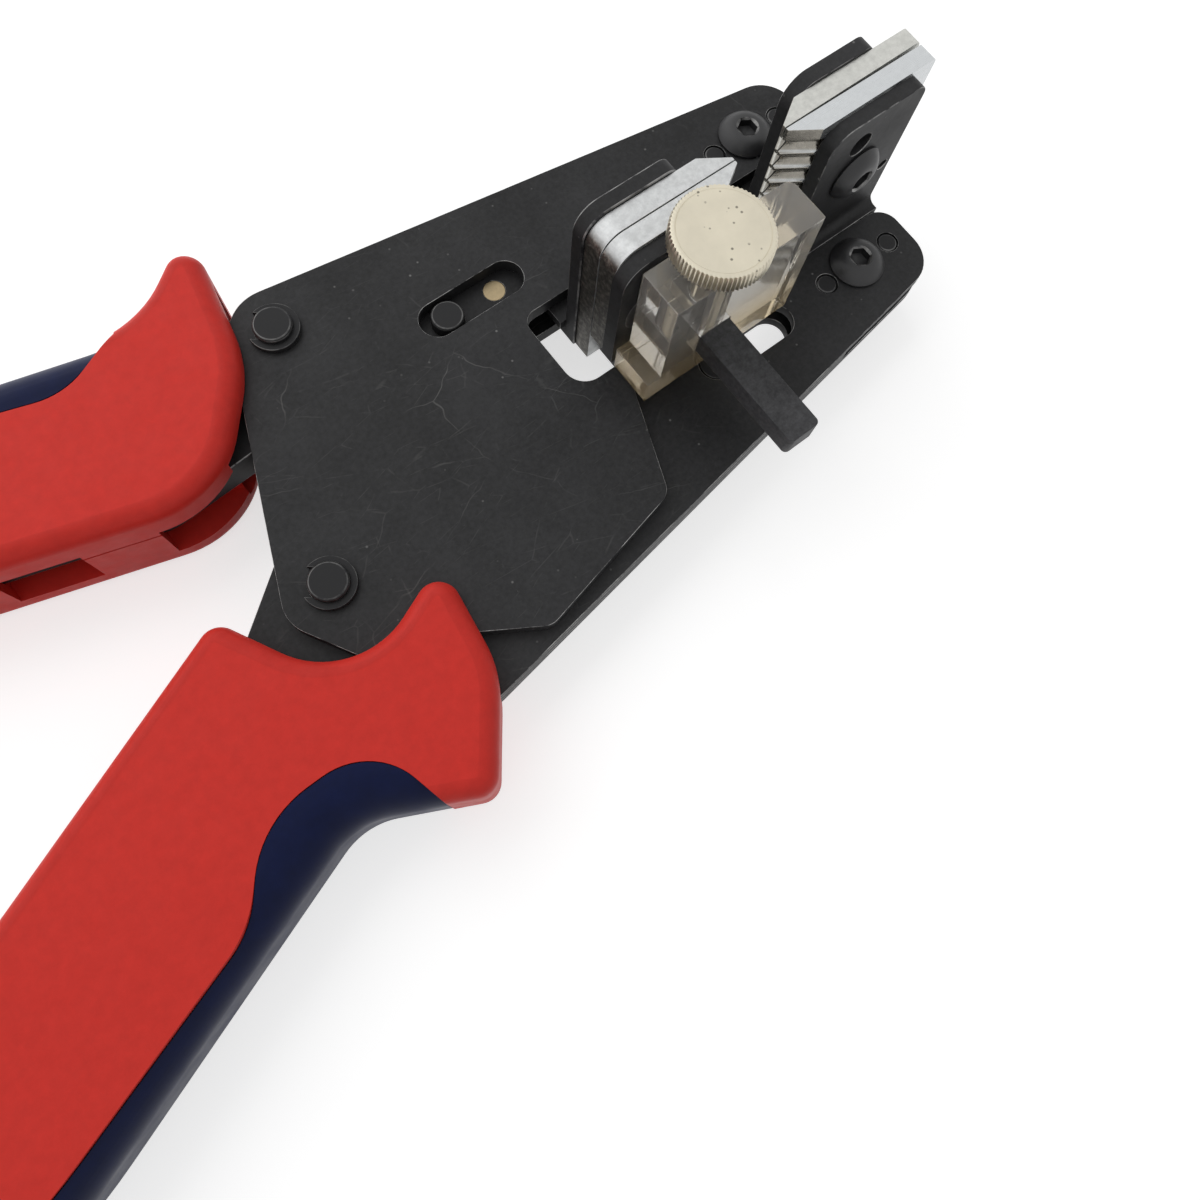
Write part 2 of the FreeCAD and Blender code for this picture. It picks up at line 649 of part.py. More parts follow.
def pivot_pin(label, pivot):
    """A pivot pin with a groove for a retaining ring at each end."""
    radius = S["pivot_width"] / 2
    neck = radius - S["ring_bite"]
    low = frame_low - S["pivot_stand"]
    high = frame_high + S["pivot_stand"]
    chamfer = S["pin_chamfer"]
    low_ring = frame_low - S["slip_gap"]
    high_ring = frame_high + S["slip_gap"]
    profile = [
        (0, low),
        (radius - chamfer, low),
        (radius, low + chamfer),
        (radius, low_ring - S["ring_height"]),
        (neck, low_ring - S["ring_height"]),
        (neck, low_ring),
        (radius, low_ring),
        (radius, high_ring),
        (neck, high_ring),
        (neck, high_ring + S["ring_height"]),
        (radius, high_ring + S["ring_height"]),
        (radius, high - chamfer),
        (radius - chamfer, high),
        (0, high),
    ]
    return keep(turned(label, profile, pivot[0], pivot[1]))


def retaining_ring(label, pivot, low):
    """An open ring that snaps into a pin groove."""
    body = new_body(label, pivot[0], pivot[1], 0, FreeCAD.Rotation(FreeCAD.Vector(0, 0, 1), 1))
    body.setExpression("Placement.Rotation.Angle", "Sizes.ring_turn * 1 deg")
    inner = S["pivot_width"] / 2 - S["ring_bite"] + S["fit_gap"]
    sketch = sketch_on(body, "XY_Plane", low)
    draw_circle(sketch, 0, 0, S["ring_width"] / 2)
    draw_circle(sketch, 0, 0, inner)
    pad(body, sketch, S["ring_height"] - S["fit_gap"])
    half = S["ring_opening"] / 2
    cut_outline(body, box_corners(-S["ring_width"], 0, -half, half))
    return body


def pivot_set(name, pivot):
    pivot_pin(name + "_pivot_pin", pivot)
    low = frame_low - S["slip_gap"] - S["ring_height"] + S["fit_gap"] / 2
    high = frame_high + S["slip_gap"] + S["fit_gap"] / 2
    members = [
        retaining_ring(name + "_ring_low", pivot, low),
        retaining_ring(name + "_ring_high", pivot, high),
    ]
    group(name + "_pivot_rings", members)


def dowels(label, side, low, high):
    """The two dowels of a finger."""
    radius = S["dowel_width"] / 2
    top = high - S["dowel_sink"]
    chamfer = S["pin_chamfer"]
    profile = [(0, low), (radius, low), (radius, top - chamfer), (radius - chamfer, top), (0, top)]
    x, y = finger_place(side)
    members = [turned(label + "_rear", profile, x - S["dowel_behind"], y)]
    members.append(turned(label + "_front", profile, x + S["dowel_ahead"], y))
    group(label, members)


def button_screw(label, x, y, z, length, turn=None):
    """A button head screw, its head standing on the given point."""
    radius = S["screw_width"] / 2
    profile = [
        (0, -sized(length)),
        (radius - S["pin_chamfer"], -sized(length)),
        (radius, S["pin_chamfer"] - length),
        (radius, 0),
        (S["head_width"] / 2, 0),
        (S["head_width"] / 2, S["head_rim"]),
        (S["head_shoulder_width"] / 2, S["head_shoulder"]),
        (S["head_flat"] / 2, S["head_height"]),
        (0, S["head_height"]),
    ]
    body = turned(label, profile, x, y, z, turn)
    cut_hexagon(body, S["socket_width"], S["head_height"], S["socket_depth"])
    return keep(body)


def nut(label, x, y):
    """A hexagon nut standing on the table."""
    reach = S["nut_width"] / math.sqrt(3)
    turns = [math.radians(60 * i) for i in range(6)]
    body = new_body(label, x, y)
    sketch = sketch_on(body, "XY_Plane", 0)
    draw_outline(sketch, [(reach * math.cos(t), reach * math.sin(t)) for t in turns])
    pad(body, sketch, S["nut_height"])
    cut_circles(body, [(0, 0, screw_hole)])
    return keep(body)


def cut_flutes(body, tip_x, side, ahead):
    """Cut the wire grooves, which run along the slope of a blade's bevel."""
    sketch = sketch_on(body, "XZ_Plane", (seam + S["blade_land"]) * -side)
    slope = S["blade_bevel"] / (S["blade_thickness"] - S["blade_land"])
    sketch.AttachmentOffset.Rotation = FreeCAD.Rotation(FreeCAD.Vector(0, ahead * side, 0), 1)
    sketch.setExpression("AttachmentOffset.Rotation.Angle", "atan(%s)" % slope.text)
    bind(sketch, "AttachmentOffset.Base.x", tip_x)
    doc.recompute()
    for i in range(GROOVES):
        height = S["blade_top"] - S["groove_first"] - S["groove_pitch"] * i
        draw_circle(sketch, S["groove_off"] * ahead, height, S["groove_radius"])
    pocket(body, sketch)


def blade(label, back_x, tip_x, side, screw_x, rounding):
    """A grooved stripping blade; side is 1 for far and -1 for near."""
    ahead = 1 if tip_x.value > back_x.value else -1
    bevel = tip_x - S["blade_bevel"] * ahead
    corners = [
        (back_x, seam * side),
        (tip_x, seam * side),
        (tip_x, (seam + S["blade_land"]) * side),
        (bevel, blade_back * side),
        (back_x, blade_back * side),
    ]
    body = plate(label, corners, blade_low, S["blade_top"] - blade_low)
    spot = (back_x.value, S["blade_top"].value)
    fillet_edges(body, lambda edge: stands_at(edge, 1, spot), rounding)
    cut_circles(body, [(screw_x, S["bracket_screw_height"], screw_hole)], "XZ_Plane")
    cut_flutes(body, tip_x, side, ahead)
    return keep(body)


def bracket_wall(label, corners, side):
    """The upright plate of a jaw bracket, drawn from the side (x, height)."""
    body = new_body(label)
    near_face = blade_back if side > 0 else -bracket_back
    sketch = sketch_on(body, "XZ_Plane", -(near_face + S["bracket_thickness"]))
    draw_outline(sketch, corners)
    pad(body, sketch, S["bracket_thickness"])
    round_corners(body, corners, axis=1)
    return body


def add_foot(body, corners, low, height):
    sketch = sketch_on(body, "XY_Plane", low)
    draw_outline(sketch, corners)
    pad(body, sketch, height)


def make_frame():
    frame_plate("frame_plate_top", core_high)
    frame_plate("frame_plate_bottom", frame_low)
    pivot_set("clamp", clamp_pivot)
    pivot_set("strip", strip_pivot)
    start = front_bracket_x
    end = start + S["far_front_length"]
    wall = [
        (start, core_low),
        (end, core_low),
        (end, far_top, S["bracket_small_round"]),
        (start, far_top, S["bracket_round"]),
    ]
    body = bracket_wall("far_front_bracket", wall, 1)
    foot_end = S["finger_front_x"] - S["front_foot_set"]
    foot = box_corners(S["front_foot_x"], foot_end, blade_back, S["foot_depth"])
    add_foot(body, foot, core_low, core_height)
    cut_circles(body, finger_holes(1))
    screw_x = start + S["front_screw_set"]
    cut_circles(body, [(screw_x, S["bracket_screw_height"], screw_hole)], "XZ_Plane")
    keep(body)
    blade("far_front_blade", S["front_blade_x"], front_tip, 1, screw_x, S["front_blade_round"])
    reach = S["bracket_thickness"] + S["blade_thickness"] - S["fit_gap"]
    away = FreeCAD.Rotation(FreeCAD.Vector(1, 0, 0), -90)
    button_screw("far_front_screw", screw_x, bracket_back, S["bracket_screw_height"], reach, away)
    x, y = finger_place(1)
    button_screw("upper_finger_screw", x, y, frame_high, frame_high - S["screw_sink"])
    nut("upper_finger_nut", x, y)
    dowels("upper_finger_dowels", 1, frame_low, frame_high)
    radius = S["post_width"] / 2
    post = [(0, core_low), (radius, core_low), (radius, core_high), (0, core_high)]
    keep(turned("spring_post", post, S["post_x"], S["post_y"]))
    make_return_spring()


def make_return_spring():
    """The coil spring between the slide and the far front foot."""
    coil = doc.addObject("Part::Helix", "return_spring_coil")
    wire = doc.addObject("Part::RegularPolygon", "return_spring_wire")
    wire.Polygon = 6
    along = FreeCAD.Rotation(FreeCAD.Vector(0, 1, 0), 90)
    middle = mid_low + S["spacer_plate"] / 2
    reach = S["spring_width"] / 2 - S["spring_wire"] / 2
    start = S["slide_front_x"] + S["spring_wire"] / 2 + S["slip_gap"]
    bind(coil, "Pitch", S["spring_pitch"])
    bind(coil, "Height", S["front_foot_x"] - S["slide_front_x"] - S["spring_wire"] - S["slip_gap"] * 2)
    bind(coil, "Radius", reach)
    bind(wire, "Circumradius", S["spring_wire"] / 2)
    y = S["upper_finger_y"]
    place(coil, start, y, middle, along)
    place(wire, start, y, middle - reach, FreeCAD.Rotation(FreeCAD.Vector(1, 0, 0), 90))
    sweep = doc.addObject("Part::Sweep", "clamp_return_spring")
    sweep.Label = "clamp_return_spring"
    doc.recompute()
    sweep.Sections = [wire]
    sweep.Spine = (coil, ["Edge1"])
    sweep.Solid = True
    sweep.Frenet = True
    doc.recompute()
    keep(sweep)


def make_clamp_lever():
    names = ["hub_top", "hub_low", "belly", "inner", "tang_low", "tang_high", "back"]
    corners = [corner("lever_" + name) for name in names]
    body = plate("clamp_lever", corners, moving_low, moving_height)
    run_x = S["drive_x"] - S["clamp_pivot_x"]
    run_y = S["drive_y"] - S["clamp_pivot_y"]
    length = (run_x * run_x + run_y * run_y).root()
    ux = run_x / length
    uy = run_y / length
    face = -(S["drive_width"] / 2 + S["lever_face_gap"])
    back = face - S["finger_rib"]
    reach = length + S["lever_overlap"]
    finger = []
    for along, aside in [(0, back), (reach, back), (reach, face), (0, face)]:
        x = S["clamp_pivot_x"] + ux * along - uy * aside
        y = S["clamp_pivot_y"] + uy * along + ux * aside
        finger.append((x, y))
    low = mid_low + S["slip_gap"]
    add_foot(body, finger, low, S["spacer_plate"] - S["slip_gap"] * 2)
    cut_circles(body, [clamp_pivot + (S["pivot_width"] / 2 + S["running_gap"],)])
    keep(body)


def make_far_carriage():
    holes = [
        (S["drive_x"], S["drive_y"], S["drive_width"] / 2 + S["fit_gap"]),
        (S["rivet_x"], S["rivet_y"], S["rivet_width"] / 2 + S["fit_gap"]),
    ]
    low_y = bracket_back + S["fit_gap"]
    wide_x = rear_bracket_x - S["slide_shoulder"]
    upper = [
        (S["slide_rear_x"], S["slide_low_y"], S["slide_round"]),
        (wide_x, S["slide_low_y"]),
        (wide_x, low_y),
        (S["slide_front_x"], low_y),
        (S["slide_front_x"], S["slide_high_y"], S["slide_small_round"]),
        (S["slide_rear_x"], S["slide_high_y"], S["slide_round"]),
    ]
    body = plate("slide_plate_top", upper, mid_high, S["strip_cheek"])
    cut_circles(body, holes)
    keep(body)
    fork_end = lower_inner + S["fork_end_gap"]
    left = S["fork_x"] - S["fork_half"]
    right = S["fork_x"] + S["fork_half"]
    lower = [
        (S["slide_rear_x"], S["slide_low_y"], S["slide_round"]),
        (left, S["slide_low_y"]),
        (left, fork_end, S["slide_small_round"]),
        (right, fork_end, S["slide_small_round"]),
        (right, low_y),
        (S["slide_front_x"], low_y),
        (S["slide_front_x"], S["slide_high_y"], S["slide_small_round"]),
        (S["slide_rear_x"], S["slide_high_y"], S["slide_round"]),
    ]
    body = plate("slide_plate_bottom", lower, moving_low, S["strip_cheek"])
    cut_circles(body, holes)
    slot_width = S["peg_width"] + S["fork_play"] * 2
    cut_slot(body, (S["fork_x"], S["peg_y"]), (S["fork_x"], fork_end - slot_width), slot_width)
    keep(body)
    start = rear_bracket_x
    end = start + S["rear_bracket_length"]
    wall = [
        (start, mid_low),
        (end, mid_low),
        (end, far_top, S["bracket_small_round"]),
        (start, far_top, S["bracket_round"]),
    ]
    body = bracket_wall("far_rear_bracket", wall, 1)
    foot = [
        (start, blade_back),
        (S["slide_front_x"], blade_back),
        (S["slide_front_x"], S["foot_depth"]),
        (S["rivet_x"] - S["rivet_width"], S["foot_depth"]),
        (S["rivet_x"] - S["rivet_width"], S["foot_ledge_y"]),
        (start, S["foot_ledge_y"]),
    ]
    add_foot(body, foot, mid_low, S["spacer_plate"])
    cut_circles(body, holes[1:])
    screw_x = start + S["rear_screw_set"]
    cut_circles(body, [(screw_x, S["bracket_screw_height"], screw_hole)], "XZ_Plane")
    keep(body)
    blade("far_rear_blade", S["rear_blade_x"], rear_tip, 1, screw_x, S["rear_blade_round"])
    reach = S["bracket_thickness"] + S["blade_thickness"] - S["fit_gap"]
    away = FreeCAD.Rotation(FreeCAD.Vector(1, 0, 0), -90)
    button_screw("far_rear_screw", screw_x, bracket_back, S["bracket_screw_height"], reach, away)
    radius = S["drive_width"] / 2
    low = frame_low + S["drive_sink"]
    high = frame_high - S["drive_sink"]
    chamfer = S["pin_chamfer"]
    pin = [(0, low), (radius, low), (radius, high - chamfer), (radius - chamfer, high), (0, high)]
    keep(turned("drive_pin", pin, S["drive_x"], S["drive_y"]))
    radius = S["rivet_width"] / 2
    rivet = [(0, moving_low), (radius, moving_low), (radius, moving_high), (0, moving_high)]
    keep(turned("slide_rivet", rivet, S["rivet_x"], S["rivet_y"]))


def strip_outline():
    """Outline shared by the strip lever cheeks."""
    heel_x = S["strip_heel_x"]
    corners = [
        (strip_front_x, lower_inner, S["lower_finger_round"]),
        (strip_front_x, -taper_edge(strip_front_x), S["finger_round"]),
        (heel_x, -taper_edge(heel_x), S["strip_heel_r"]),
    ]
    for name in ["waist", "tang_low", "tang_high", "tang_root", "back", "crown"]:
        corners.append(corner("strip_" + name))
    corners.append((S["strip_inner_x"], lower_inner, S["strip_inner_r"]))
    return corners


def strip_holes(body):
    """Pivot hole, rivet holes and post slot shared by the strip lever plates."""
    rivet_hole = S["rivet_width"] / 2 + S["fit_gap"]
    second = (S["tang_rivet_x"] - S["tang_rivet_run"], S["tang_rivet_y"] - S["tang_rivet_drop"])
    cut_circles(body, [
        strip_pivot + (S["pivot_width"] / 2 + S["running_gap"],),
        (S["tang_rivet_x"], S["tang_rivet_y"], rivet_hole),
        second + (rivet_hole,),
    ])


def post_slot(body):
    start = (S["post_x"], S["post_y"])
    end = (S["post_x"] + S["post_drift"], S["post_y"] + S["post_swing"])
    cut_slot(body, start, end, S["post_width"] + S["foot_gap"] * 2)


def strip_cheek(label, low):
    body = plate(label, strip_outline(), low, S["strip_cheek"])
    strip_holes(body)
    post_slot(body)
    cut_circles(body, finger_holes(-1))
    start = (S["guide_x"] - S["guide_slot_back"], -S["guide_y"])
    end = (S["guide_x"] + S["guide_slot_ahead"], -S["guide_y"])
    cut_slot(body, start, end, S["guide_slot_width"])
    keep(body)


def make_strip_lever():
    strip_cheek("strip_plate_top", mid_high)
    strip_cheek("strip_plate_bottom", moving_low)
    heel_x = S["strip_heel_x"]
    foot_edge = -(S["foot_depth"] + S["foot_gap"])
    wall_x = rear_bracket_x - S["foot_pocket_set"]
    spacer_end = S["front_foot_x"] - S["foot_gap"]
    corners = [
        (spacer_end, foot_edge),
        (spacer_end, -taper_edge(spacer_end)),
        (heel_x, -taper_edge(heel_x), S["strip_heel_r"]),
    ]
    for name in ["waist", "tang_low", "tang_high", "tang_root", "back", "crown"]:
        corners.append(corner("strip_" + name))
    corners += [
        (S["strip_inner_x"], lower_inner, S["strip_inner_r"]),
        (wall_x, lower_inner),
        (wall_x, foot_edge),
    ]
    body = plate("strip_spacer", corners, mid_low, S["spacer_plate"])
    strip_holes(body)
    leaf_y = S["post_y"] + S["post_width"] / 2 + S["slip_gap"]
    root_x = S["leaf_root_x"]
    tip_x = S["post_x"] + S["post_width"] / 2
    bay_end = tip_x + S["bay_ahead"]
    bay = [
        (root_x, leaf_y - S["leaf_clear"]),
        (S["post_x"] - S["post_width"], leaf_y - S["leaf_clear"]),
        (S["post_x"] - S["post_width"], S["post_y"] - S["post_width"]),
        (bay_end, S["post_y"] - S["post_width"]),
        (bay_end, leaf_y + S["post_swing"] + S["bay_room"]),
        (root_x, leaf_y + S["leaf_thickness"] + S["leaf_clear"]),
    ]
    cut_outline(body, bay)
    seat_x = root_x - S["leaf_seat"]
    slit_high = leaf_y + S["leaf_thickness"] + S["fit_gap"]
    cut_outline(body, box_corners(seat_x, root_x + BEYOND, leaf_y - S["fit_gap"], slit_high))
    keep(body)
    strip = box_corners(seat_x + S["fit_gap"], tip_x, leaf_y, leaf_y + S["leaf_thickness"])
    leaf_low = mid_low + S["slip_gap"]
    keep(plate("strip_leaf_spring", strip, leaf_low, S["spacer_plate"] - S["slip_gap"] * 2))
    start = front_bracket_x
    end = start + S["near_front_length"]
    wall = [
        (start, mid_low),
        (end, mid_low),
        (end, near_top, S["bracket_small_round"]),
        (start, near_top, S["bracket_round"]),
    ]
    body = bracket_wall("near_front_bracket", wall, -1)
    foot = box_corners(S["front_foot_x"], S["finger_front_x"], -S["foot_depth"], -blade_back)
    add_foot(body, foot, mid_low, S["spacer_plate"])
    ledge = box_corners(start, end, lower_inner + S["fit_gap"] * 4, -blade_back)
    add_foot(body, ledge, mid_low, mid_high - mid_low + S["strip_cheek"])
    spot = (-bracket_back.value, moving_high.value)
    fillet_edges(body, lambda edge: stands_at(edge, 0, spot), S["ledge_round"])
    cut_circles(body, finger_holes(-1))
    screw_x = start + S["front_screw_set"]
    height = S["bracket_screw_height"]
    relief = (screw_x - S["relief_hole_back"], height + S["relief_hole_rise"], S["relief_hole_width"] / 2)
    small = (end - S["small_hole_set"], height - S["small_hole_drop"], S["small_hole_width"] / 2)
    cut_circles(body, [(screw_x, height, screw_hole), relief, small], "XZ_Plane")
    keep(body)
    blade("near_front_blade", S["front_blade_x"], front_tip, -1, screw_x, S["front_blade_round"])
    reach = S["bracket_thickness"] + S["blade_thickness"] - S["fit_gap"]
    toward = FreeCAD.Rotation(FreeCAD.Vector(1, 0, 0), 90)
    button_screw("near_front_screw", screw_x, -bracket_back, height, reach, toward)
    x, y = finger_place(-1)
    button_screw("lower_finger_screw", x, y, moving_high, moving_high - S["screw_sink"])
    nut("lower_finger_nut", x, y)
    washer = new_body("lower_finger_washer", x, y)
    sketch = sketch_on(washer, "XY_Plane", S["nut_height"])
    draw_circle(sketch, 0, 0, S["washer_width"] / 2)
    draw_circle(sketch, 0, 0, screw_hole)
    pad(washer, sketch, moving_low - S["nut_height"])
    keep(washer)
    dowels("lower_finger_dowels", -1, moving_low, moving_high)
    radius = S["rivet_width"] / 2
    rivet = [(0, moving_low), (radius, moving_low), (radius, moving_high), (0, moving_high)]
    members = []
    for i, name in enumerate(["tang_rivet_front", "tang_rivet_rear"]):
        x = S["tang_rivet_x"] - S["tang_rivet_run"] * i
        members.append(turned(name, rivet, x, S["tang_rivet_y"] - S["tang_rivet_drop"] * i))
    group("tang_rivets", members)


def make_near_carriage():
    start = rear_bracket_x
    end = start + S["rear_bracket_length"]
    clear = frame_high + S["nose_clear"]
    low = mid_low + S["slip_gap"] * 2
    wall = [
        (tongue_x, low),
        (end, low),
        (end, near_top, S["bracket_small_round"]),
        (start, near_top, S["bracket_round"]),
        (start, clear),
        (tongue_x, clear),
    ]
    body = bracket_wall("near_rear_bracket", wall, -1)
    foot = box_corners(tongue_x, S["near_foot_front_x"], -S["foot_depth"], -blade_back)
    foot_height = S["spacer_plate"] - S["slip_gap"] * 3
    add_foot(body, foot, low, foot_height)
    sketch = sketch_on(body, "XY_Plane", moving_low + S["slip_gap"])
    draw_circle(sketch, S["fork_x"], S["peg_y"], S["peg_width"] / 2)
    pad(body, sketch, low - moving_low + S["slip_gap"])
    guide_hole = S["guide_width"] / 2 + S["fit_gap"]
    cut_circles(body, [(S["guide_x"], -S["guide_y"], guide_hole)])
    screw_x = start + S["rear_screw_set"]
    height = S["bracket_screw_height"]
    bar_middle = S["bar_low"] + S["bar_height"] / 2
    tenon_hole = S["bar_tenon"] / 2 + S["fit_gap"]
    cut_circles(body, [(screw_x, height, screw_hole), (S["bar_x"], bar_middle, tenon_hole)], "XZ_Plane")
    cone = turned("near_rear_sink", sunk_head(S["fit_gap"]), screw_x, -bracket_back, height,
                  FreeCAD.Rotation(FreeCAD.Vector(1, 0, 0), 90))
    cut = doc.addObject("Part::Cut", "near_rear_bracket_sunk")
    body.Label = "near_rear_bracket_form"
    cut.Label = "near_rear_bracket"
    cut.Base = body
    cut.Tool = cone
    doc.recompute()
    keep(cut)
    near = blade("near_rear_blade", S["rear_blade_x"], rear_tip, -1, screw_x, S["rear_blade_round"])
    relief = box_corners(S["rear_blade_x"] - BEYOND, tongue_x, blade_low - BEYOND, clear)
    cut_outline(near, relief, "XZ_Plane")
    reach = S["bracket_thickness"] + S["blade_thickness"] - S["fit_gap"]
    radius = S["screw_width"] / 2
    profile = [(0, -reach), (radius, -reach)] + sunk_head(0)[1:]
    screw = turned("near_rear_screw", profile, screw_x, -bracket_back, height,
                   FreeCAD.Rotation(FreeCAD.Vector(1, 0, 0), 90))
    cut_hexagon(screw, S["socket_width"], 0, S["socket_depth"])
    keep(screw)
    radius = S["guide_width"] / 2
    pin_low = moving_low + S["slip_gap"]
    pin_high = moving_high - S["slip_gap"] * 4
    pin = [(0, pin_low), (radius, pin_low), (radius, pin_high), (0, pin_high)]
    keep(turned("guide_pin", pin, S["guide_x"], -S["guide_y"]))
    half = S["bar_width"] / 2
    corners = box_corners(S["bar_x"] - half, S["bar_x"] + half, S["bar_end_y"], -bracket_back)
    ends = [(x, y, S["bar_round"]) for x, y in corners[:2]]
    bar = plate("stop_bar", ends + corners[2:], S["bar_low"], S["bar_height"])
    sketch = sketch_on(bar, "XZ_Plane", blade_back)
    draw_circle(sketch, S["bar_x"], bar_middle, S["bar_tenon"] / 2)
    pad(bar, sketch, S["bracket_thickness"])
    keep(bar)


def sunk_head(grow):
    """Half profile of a countersunk head, its top at height 0."""
    radius = S["screw_width"] / 2
    wide = S["sunk_head_width"] / 2
    return [
        (0, radius - wide),
        (radius + grow, radius - wide),
        (wide + grow, 0),
        (0, 0),
    ]


def make_stop():
    low = frame_high + S["block_lift"]
    front_y = -(bracket_back + S["block_gap"])
    back_y = front_y - S["block_depth"]
    corners = [
        (S["block_rear_x"], back_y),
        (S["block_front_x"], back_y),
        (S["block_front_x"], front_y, S["block_round"]),
        (S["block_rear_x"], front_y),
    ]
    body = plate("stop_block", corners, low, S["block_height"])
    foot = box_corners(S["block_rear_x"] - S["block_foot"], S["block_rear_x"] + BEYOND, back_y, front_y)
    add_foot(body, foot, low, S["block_foot_height"])
    half = S["bar_width"] / 2 + S["bar_play"]
    channel_low = S["bar_low"] - S["bar_play"]
    channel_high = S["bar_low"] + S["bar_height"] + S["bar_play"]
    channel = box_corners(S["bar_x"] - half, S["bar_x"] + half, channel_low, channel_high)
    cut_outline(body, channel, "XZ_Plane")
    middle = (front_y + back_y) / 2
    high = low + S["block_height"]
    sketch = sketch_on(body, "XY_Plane", high)
    draw_circle(sketch, S["bar_x"], middle, S["screw_width"] / 2 + S["running_gap"])
    pocket(body, sketch, high - channel_high + BEYOND)
    keep(body)
    radius = S["screw_width"] / 2
    neck = S["knob_neck_width"] / 2
    wide = S["knob_width"] / 2
    tip = S["bar_low"] + S["bar_height"] + S["slip_gap"]
    seat = high + S["slip_gap"]
    knob = seat + S["knob_neck"]
    top = knob + S["knob_height"]
    chamfer = S["pin_chamfer"] * 2
    profile = [
        (0, tip),
        (radius - S["pin_chamfer"], tip),
        (radius, tip + S["pin_chamfer"]),
        (radius, seat),
        (neck, seat),
        (neck, knob),
        (wide - chamfer, knob),
        (wide, knob + chamfer),
        (wide, top - chamfer),
        (wide - chamfer, top),
        (0, top),
    ]
    keep(turned("thumb_screw", profile, S["bar_x"], middle))


def grip_form(label, names):
    """A grip as one rounded solid."""
    corners = [corner(name) for name in names]
    body = plate(label, corners, 0, grip_height)
    high = grip_height.value
    for level in (0.0, high):
        fillet_edges(
            body,
            lambda edge: all(abs(v.Point.z - level) < 1e-4 for v in edge.Vertexes),
            S["grip_round"],
        )
    return body


def inlay_form(label, chain, inside_y):
    """The softly rounded outer form of an inlay, closed inside the shell."""
    ends = [chain[0][:2], chain[-1][:2]]
    closing = [(ends[1][0], inside_y), (ends[0][0], inside_y)]
    body = plate(label, [ends[0]] + chain[1:-1] + [ends[1]] + closing, 0, grip_height)
    for level in (0.0, grip_height.value):
        fillet_edges(
            body,
            lambda edge: all(
                abs(v.Point.z - level) < 1e-4 and abs(v.Point.y - inside_y.value) > 1e-4
                for v in edge.Vertexes
            ),
            S["inlay_round"],
        )
    return body


def split_grip(name, form, soft_form, boundary, beyond, shift):
    """Part a grip into its hard shell and its soft inlay."""
    rear = boundary[-1][0] - S["inlay_end_lean"]
    front = boundary[0][0] + S["inlay_front_lean"]
    closing = [(rear, beyond), (front, beyond)]
    height = grip_height + BEYOND * 2
    region = plate(name + "_inlay_region", boundary + closing, -BEYOND, height)
    inner = [(x, y + shift, radius) for x, y, radius in boundary]
    soft_region = plate(name + "_inlay_inner", inner + closing, -BEYOND, height)
    shell = doc.addObject("Part::Cut", name)
    shell.Label = name
    shell.Base = form
    shell.Tool = region
    inlay = doc.addObject("Part::Common", name + "_inlay")
    inlay.Label = name + "_inlay"
    inlay.Base = soft_form
    inlay.Tool = soft_region
    doc.recompute()
    keep(shell)
    keep(inlay)


def cavity(rows, pivot):
    """Outline of a grip's free space for the frame, drawn from a pivot."""
    corners = [corner(row[0]) for row in rows]
    return [(pivot[0] + x, pivot[1] + y) for x, y, radius in corners]


def cut_cavity(body, outline):
    high = frame_high + S["cavity_gap"]
    cut_pocket(body, outline, high, frame_high - frame_low + S["cavity_gap"] * 2)


def inner_wall_y(x):
    """Inner edge of the upper grip at a place along its length."""
    rise = S["upper_inner_y"] - S["upper_throat_y"]
    slope = rise / (S["upper_inner_x"] - S["upper_throat_x"])
    return S["upper_throat_y"] + slope * (x - S["upper_throat_x"])


def cut_inner_wall(body, front_x, rear_x, depth, low, height):
    """Open the upper grip's inner wall between two places along it."""
    corners = [
        (front_x, inner_wall_y(front_x) - BEYOND * 3),
        (front_x, inner_wall_y(front_x) + depth),
        (rear_x, inner_wall_y(rear_x) + depth),
        (rear_x, inner_wall_y(rear_x) - BEYOND * 3),
    ]
    cut_pocket(body, corners, low + height, height)


def make_upper_grip():
    names = ["horn", "front", "throat", "inner", "end_inner", "end_outer", "outer", "neck"]
    body = grip_form("upper_grip_form", ["upper_" + name for name in names])
    chain = [corner("upper_" + name) for name in ["horn", "neck", "outer", "end_outer"]]
    soft = inlay_form("upper_inlay_form", chain, S["upper_throat_y"])
    gap = S["tang_gap"]
    tang = [
        (S["lever_hub_low_x"], S["lever_hub_low_y"] - S["hub_room"]),
        (S["lever_belly_x"], S["lever_belly_y"] - S["belly_room"]),
        (S["lever_inner_x"], S["lever_inner_y"] - gap),
        (S["lever_tang_low_x"] - gap, S["lever_tang_low_y"] - gap),
        (S["lever_tang_high_x"] - gap, S["lever_tang_high_y"] + gap),
        (S["lever_back_x"], S["lever_back_y"] + gap),
        (S["lever_hub_top_x"], S["lever_hub_top_y"] + gap),
    ]
    cut_pocket(body, tang, core_high, core_height)
    cut_pocket(soft, tang, core_high, core_height)
    cut_cavity(body, cavity(UPPER_CAVITY, clamp_pivot))
    low = S["wall_window_low"]
    height = S["wall_window_high"] - low
    depth = S["wall_window_depth"]
    mouth_x = S["upper_throat_x"] + S["mouth_lead"]
    cut_inner_wall(body, mouth_x, S["mouth_end_x"], depth, low, height)
    for i in range(WALL_WINDOWS):
        front_x = S["wall_window_x"] - S["wall_window_pitch"] * i
        rear_x = front_x - S["wall_window_length"]
        cut_inner_wall(body, front_x, rear_x, depth, low, height)
    cut_inner_wall(body, S["mouth_end_x"], rear_x, S["parting_depth"], S["parting_low"], S["parting_height"])
    boundary = [corner("upper_inlay_" + name) for name in ["front", "step", "rear", "end"]]
    split_grip("upper_grip", body, soft, boundary, S["upper_end_outer_y"] + BEYOND * 6, S["inlay_seam"])


